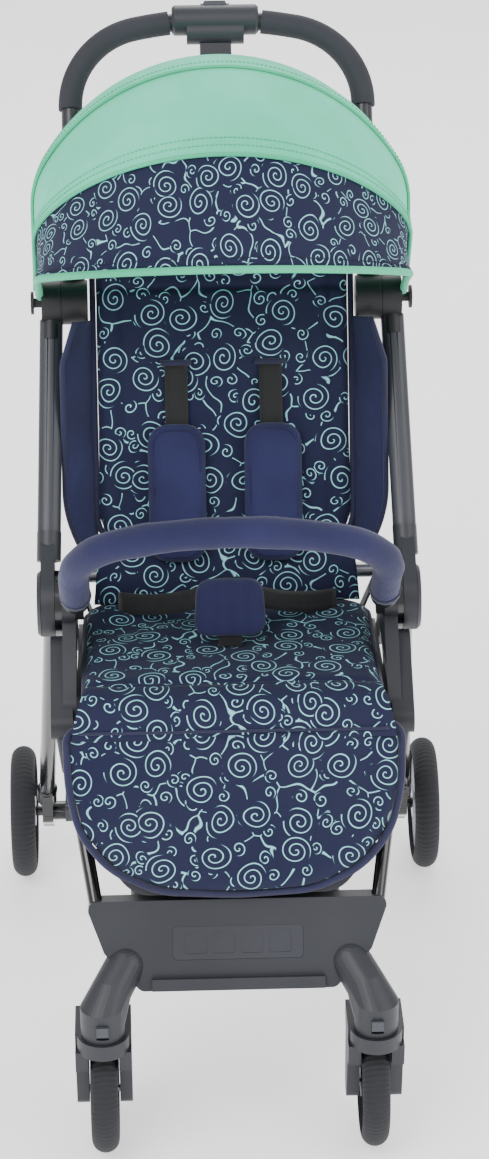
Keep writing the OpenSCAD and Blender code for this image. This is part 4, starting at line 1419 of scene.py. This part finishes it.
@dataclass
class Basket:
    """Cloth basket hung from a wire rim under the seat.

    Attributes:
        wall: Cloth thickness.
        sag: How far the floor hangs below its edges.
    """

    wall: float = 0.002
    sag: float = 0.008

    def build(self) -> None:
        """Makes the sagging shell, its rim binding and the rear straps."""
        low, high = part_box("basket")
        middle, size = (low + high) / 2, high - low
        bm = bmesh.new()
        inner = size - Vector((0.006, 0.006, 0.004))
        bmesh.ops.create_cube(bm, size=1.0,
                              matrix=Matrix.Translation(middle) @ Matrix.Diagonal((*inner, 1)))
        lid = [f for f in bm.faces if f.normal.z > 0.9]
        bmesh.ops.delete(bm, geom=lid, context="FACES_ONLY")
        upright = [e for e in bm.edges if abs(e.verts[0].co.z - e.verts[1].co.z) > 0.01]
        bmesh.ops.bevel(bm, geom=upright, affect="EDGES", offset=0.03, segments=5, profile=0.5,
                        material=-1)
        base = [e for e in bm.edges
                if max(v.co.z for v in e.verts) < low.z + 0.01 and len(e.link_faces) == 2]
        bmesh.ops.bevel(bm, geom=base, affect="EDGES", offset=0.012, segments=3, profile=0.5,
                        material=-1)
        bmesh.ops.triangulate(bm, faces=[f for f in bm.faces if len(f.verts) > 4])
        bmesh.ops.subdivide_edges(bm, edges=[e for e in bm.edges if e.calc_length() > 0.02], cuts=7,
                                  use_grid_fill=True)
        for vert in bm.verts:
            u, v = (vert.co.x - middle.x) / size.x * 2, (vert.co.y - middle.y) / size.y * 2
            up = (vert.co.z - low.z) / size.z
            inside = max(0.0, 1 - u * u) * max(0.0, 1 - v * v)
            if up < 0.1:
                vert.co.z += self.sag * (0.4 - inside) * 0.5
            pinch = 0.004 * math.sin(math.pi * min(1, up)) * math.sin(v * 9 + u * 7)
            vert.co.x -= math.copysign(abs(pinch), u) * (abs(u) > 0.9)
            vert.co.y -= math.copysign(abs(pinch), v) * (abs(v) > 0.9)
        shell = as_object("basket_shell", bm, BASKET_CLOTH, closed=False)
        settle(shell, "SOLIDIFY", thickness=self.wall, offset=1.0)
        map_flat(shell, lambda p: (p.x + p.y, p.z))
        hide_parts("basket")
        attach(shell, "root")
        half_x, half_y = size.x / 2 - 0.003, size.y / 2 - 0.003
        rim = rounded_outline(oblong(half_x, -half_y, half_y), 0.03)
        points = [Vector((middle.x + p.x, middle.y + p.y, high.z - 0.003)) for p in rim]
        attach(tube("basket_binding", points, 0.0028, WEBBING_BLACK, loop=True), "root")
        s_low, s_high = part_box("basket_straps")
        first = None
        for side, word in SIDES:
            start = Vector((side * (size.x / 2 - 0.004), s_high.y - 0.009, s_low.z + 0.001))
            end = Vector((side * 0.1546, s_low.y + 0.007, s_high.z - 0.004))
            line = [start.lerp(end, i / 10) for i in range(11)]
            strap = ribbon(f"basket_strap_{word}", line, Vector((0, 1, 0.2)), 0.015, 0.002,
                           WEBBING_BLACK)
            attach(strap, "root")
            first = first or strap
        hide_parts("basket_straps")
        LOG.info("basket")


@dataclass
class Studio:
    """Camera, floor and lights.

    Attributes:
        wheel_y: Depth of the front axle.
        lens: Focal length for a 36 mm long side.
        height: Camera height.
        ahead: Camera distance in front of the front axle.
        aside: Camera's place across.
        elevation: Downward tilt in degrees.
        yaw: Turn of its view towards +X, in degrees.
        roll: Turn about its view, in degrees.
        glow: Light that the floor gives off.
    """

    wheel_y: float
    lens: float = 105.6
    height: float = 2.0604
    ahead: float = 2.8544
    aside: float = -0.0786
    elevation: float = 26.5
    yaw: float = 1.75
    roll: float = 0.38
    glow: float = 0.8

    def camera(self) -> None:
        """Sets the camera at the viewing angle."""
        data = bpy.data.cameras.new("view")
        data.lens, data.sensor_width = self.lens, 36.0
        data.clip_start, data.clip_end = 0.1, 50.0
        cam = bpy.data.objects.new("view", data)
        cam.location = (self.aside, self.wheel_y - self.ahead, self.height)
        turns = ((-self.yaw, "Z"), (90 - self.elevation, "X"), (-self.roll, "Z"))
        aim = Matrix.Identity(3)
        for degrees, axis in turns:
            aim = aim @ Matrix.Rotation(math.radians(degrees), 3, axis)
        cam.rotation_euler = aim.to_euler()
        bpy.context.collection.objects.link(cam)
        bpy.context.scene.camera = cam

    def lamp(self, name: str, place: tuple[float, float, float], size: float, power: float) -> None:
        """Adds a square area light aimed at the seat."""
        data = bpy.data.lights.new(name, "AREA")
        data.size, data.energy = size, power
        lamp = bpy.data.objects.new(name, data)
        lamp.location = place
        aim = Vector((0, 0, 0.5)) - Vector(place)
        lamp.rotation_euler = aim.to_track_quat("-Z", "Y").to_euler()
        bpy.context.collection.objects.link(lamp)

    def build(self) -> None:
        """Makes the pale floor, three soft lamps and an even white surround."""
        bm = bmesh.new()
        bmesh.ops.create_grid(bm, x_segments=2, y_segments=2, size=60.0)
        floor = as_object("floor", bm, FLOOR_PAPER, closed=False)
        nodes = floor.data.materials[0].node_tree.nodes
        shader = next(n for n in nodes if n.type == "BSDF_PRINCIPLED")
        shader.inputs["Emission Color"].default_value = linear("#ffffff")
        shader.inputs["Emission Strength"].default_value = self.glow
        self.lamp("key", (-1.8, -2.4, 3.4), 2.4, 120.0)
        self.lamp("fill", (2.6, -1.8, 2.2), 2.6, 60.0)
        self.lamp("back", (0.4, 2.8, 2.8), 2.4, 70.0)
        world = bpy.data.worlds.new("studio")
        world.use_nodes = True
        world.node_tree.nodes["Background"].inputs[0].default_value = linear("#ffffff")
        world.node_tree.nodes["Background"].inputs[1].default_value = 0.85
        bpy.context.scene.world = world


def main() -> None:
    """Dresses the frame and builds the soft goods around it."""
    logging.basicConfig(level=logging.INFO, format="%(message)s")
    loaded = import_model()
    frame = Frame()
    frame.dress(loaded)
    places = frame.joints
    tubes = Tubes()
    tubes.side_tubes(loaded["nodes"]["side_tubes"])
    tubes.covers(loaded["nodes"]["front_tubes"])
    studio = Studio(places["front_wheel_left"].y)
    studio.camera()
    Canopy(places["handle_fold"]).build()
    Seat(places["fold"], places["recline"], places["leg_rest"]).build()
    Bumper(places["bumper_fold"]).build()
    Basket().build()
    studio.build()


if __name__ == "__main__":
    main()
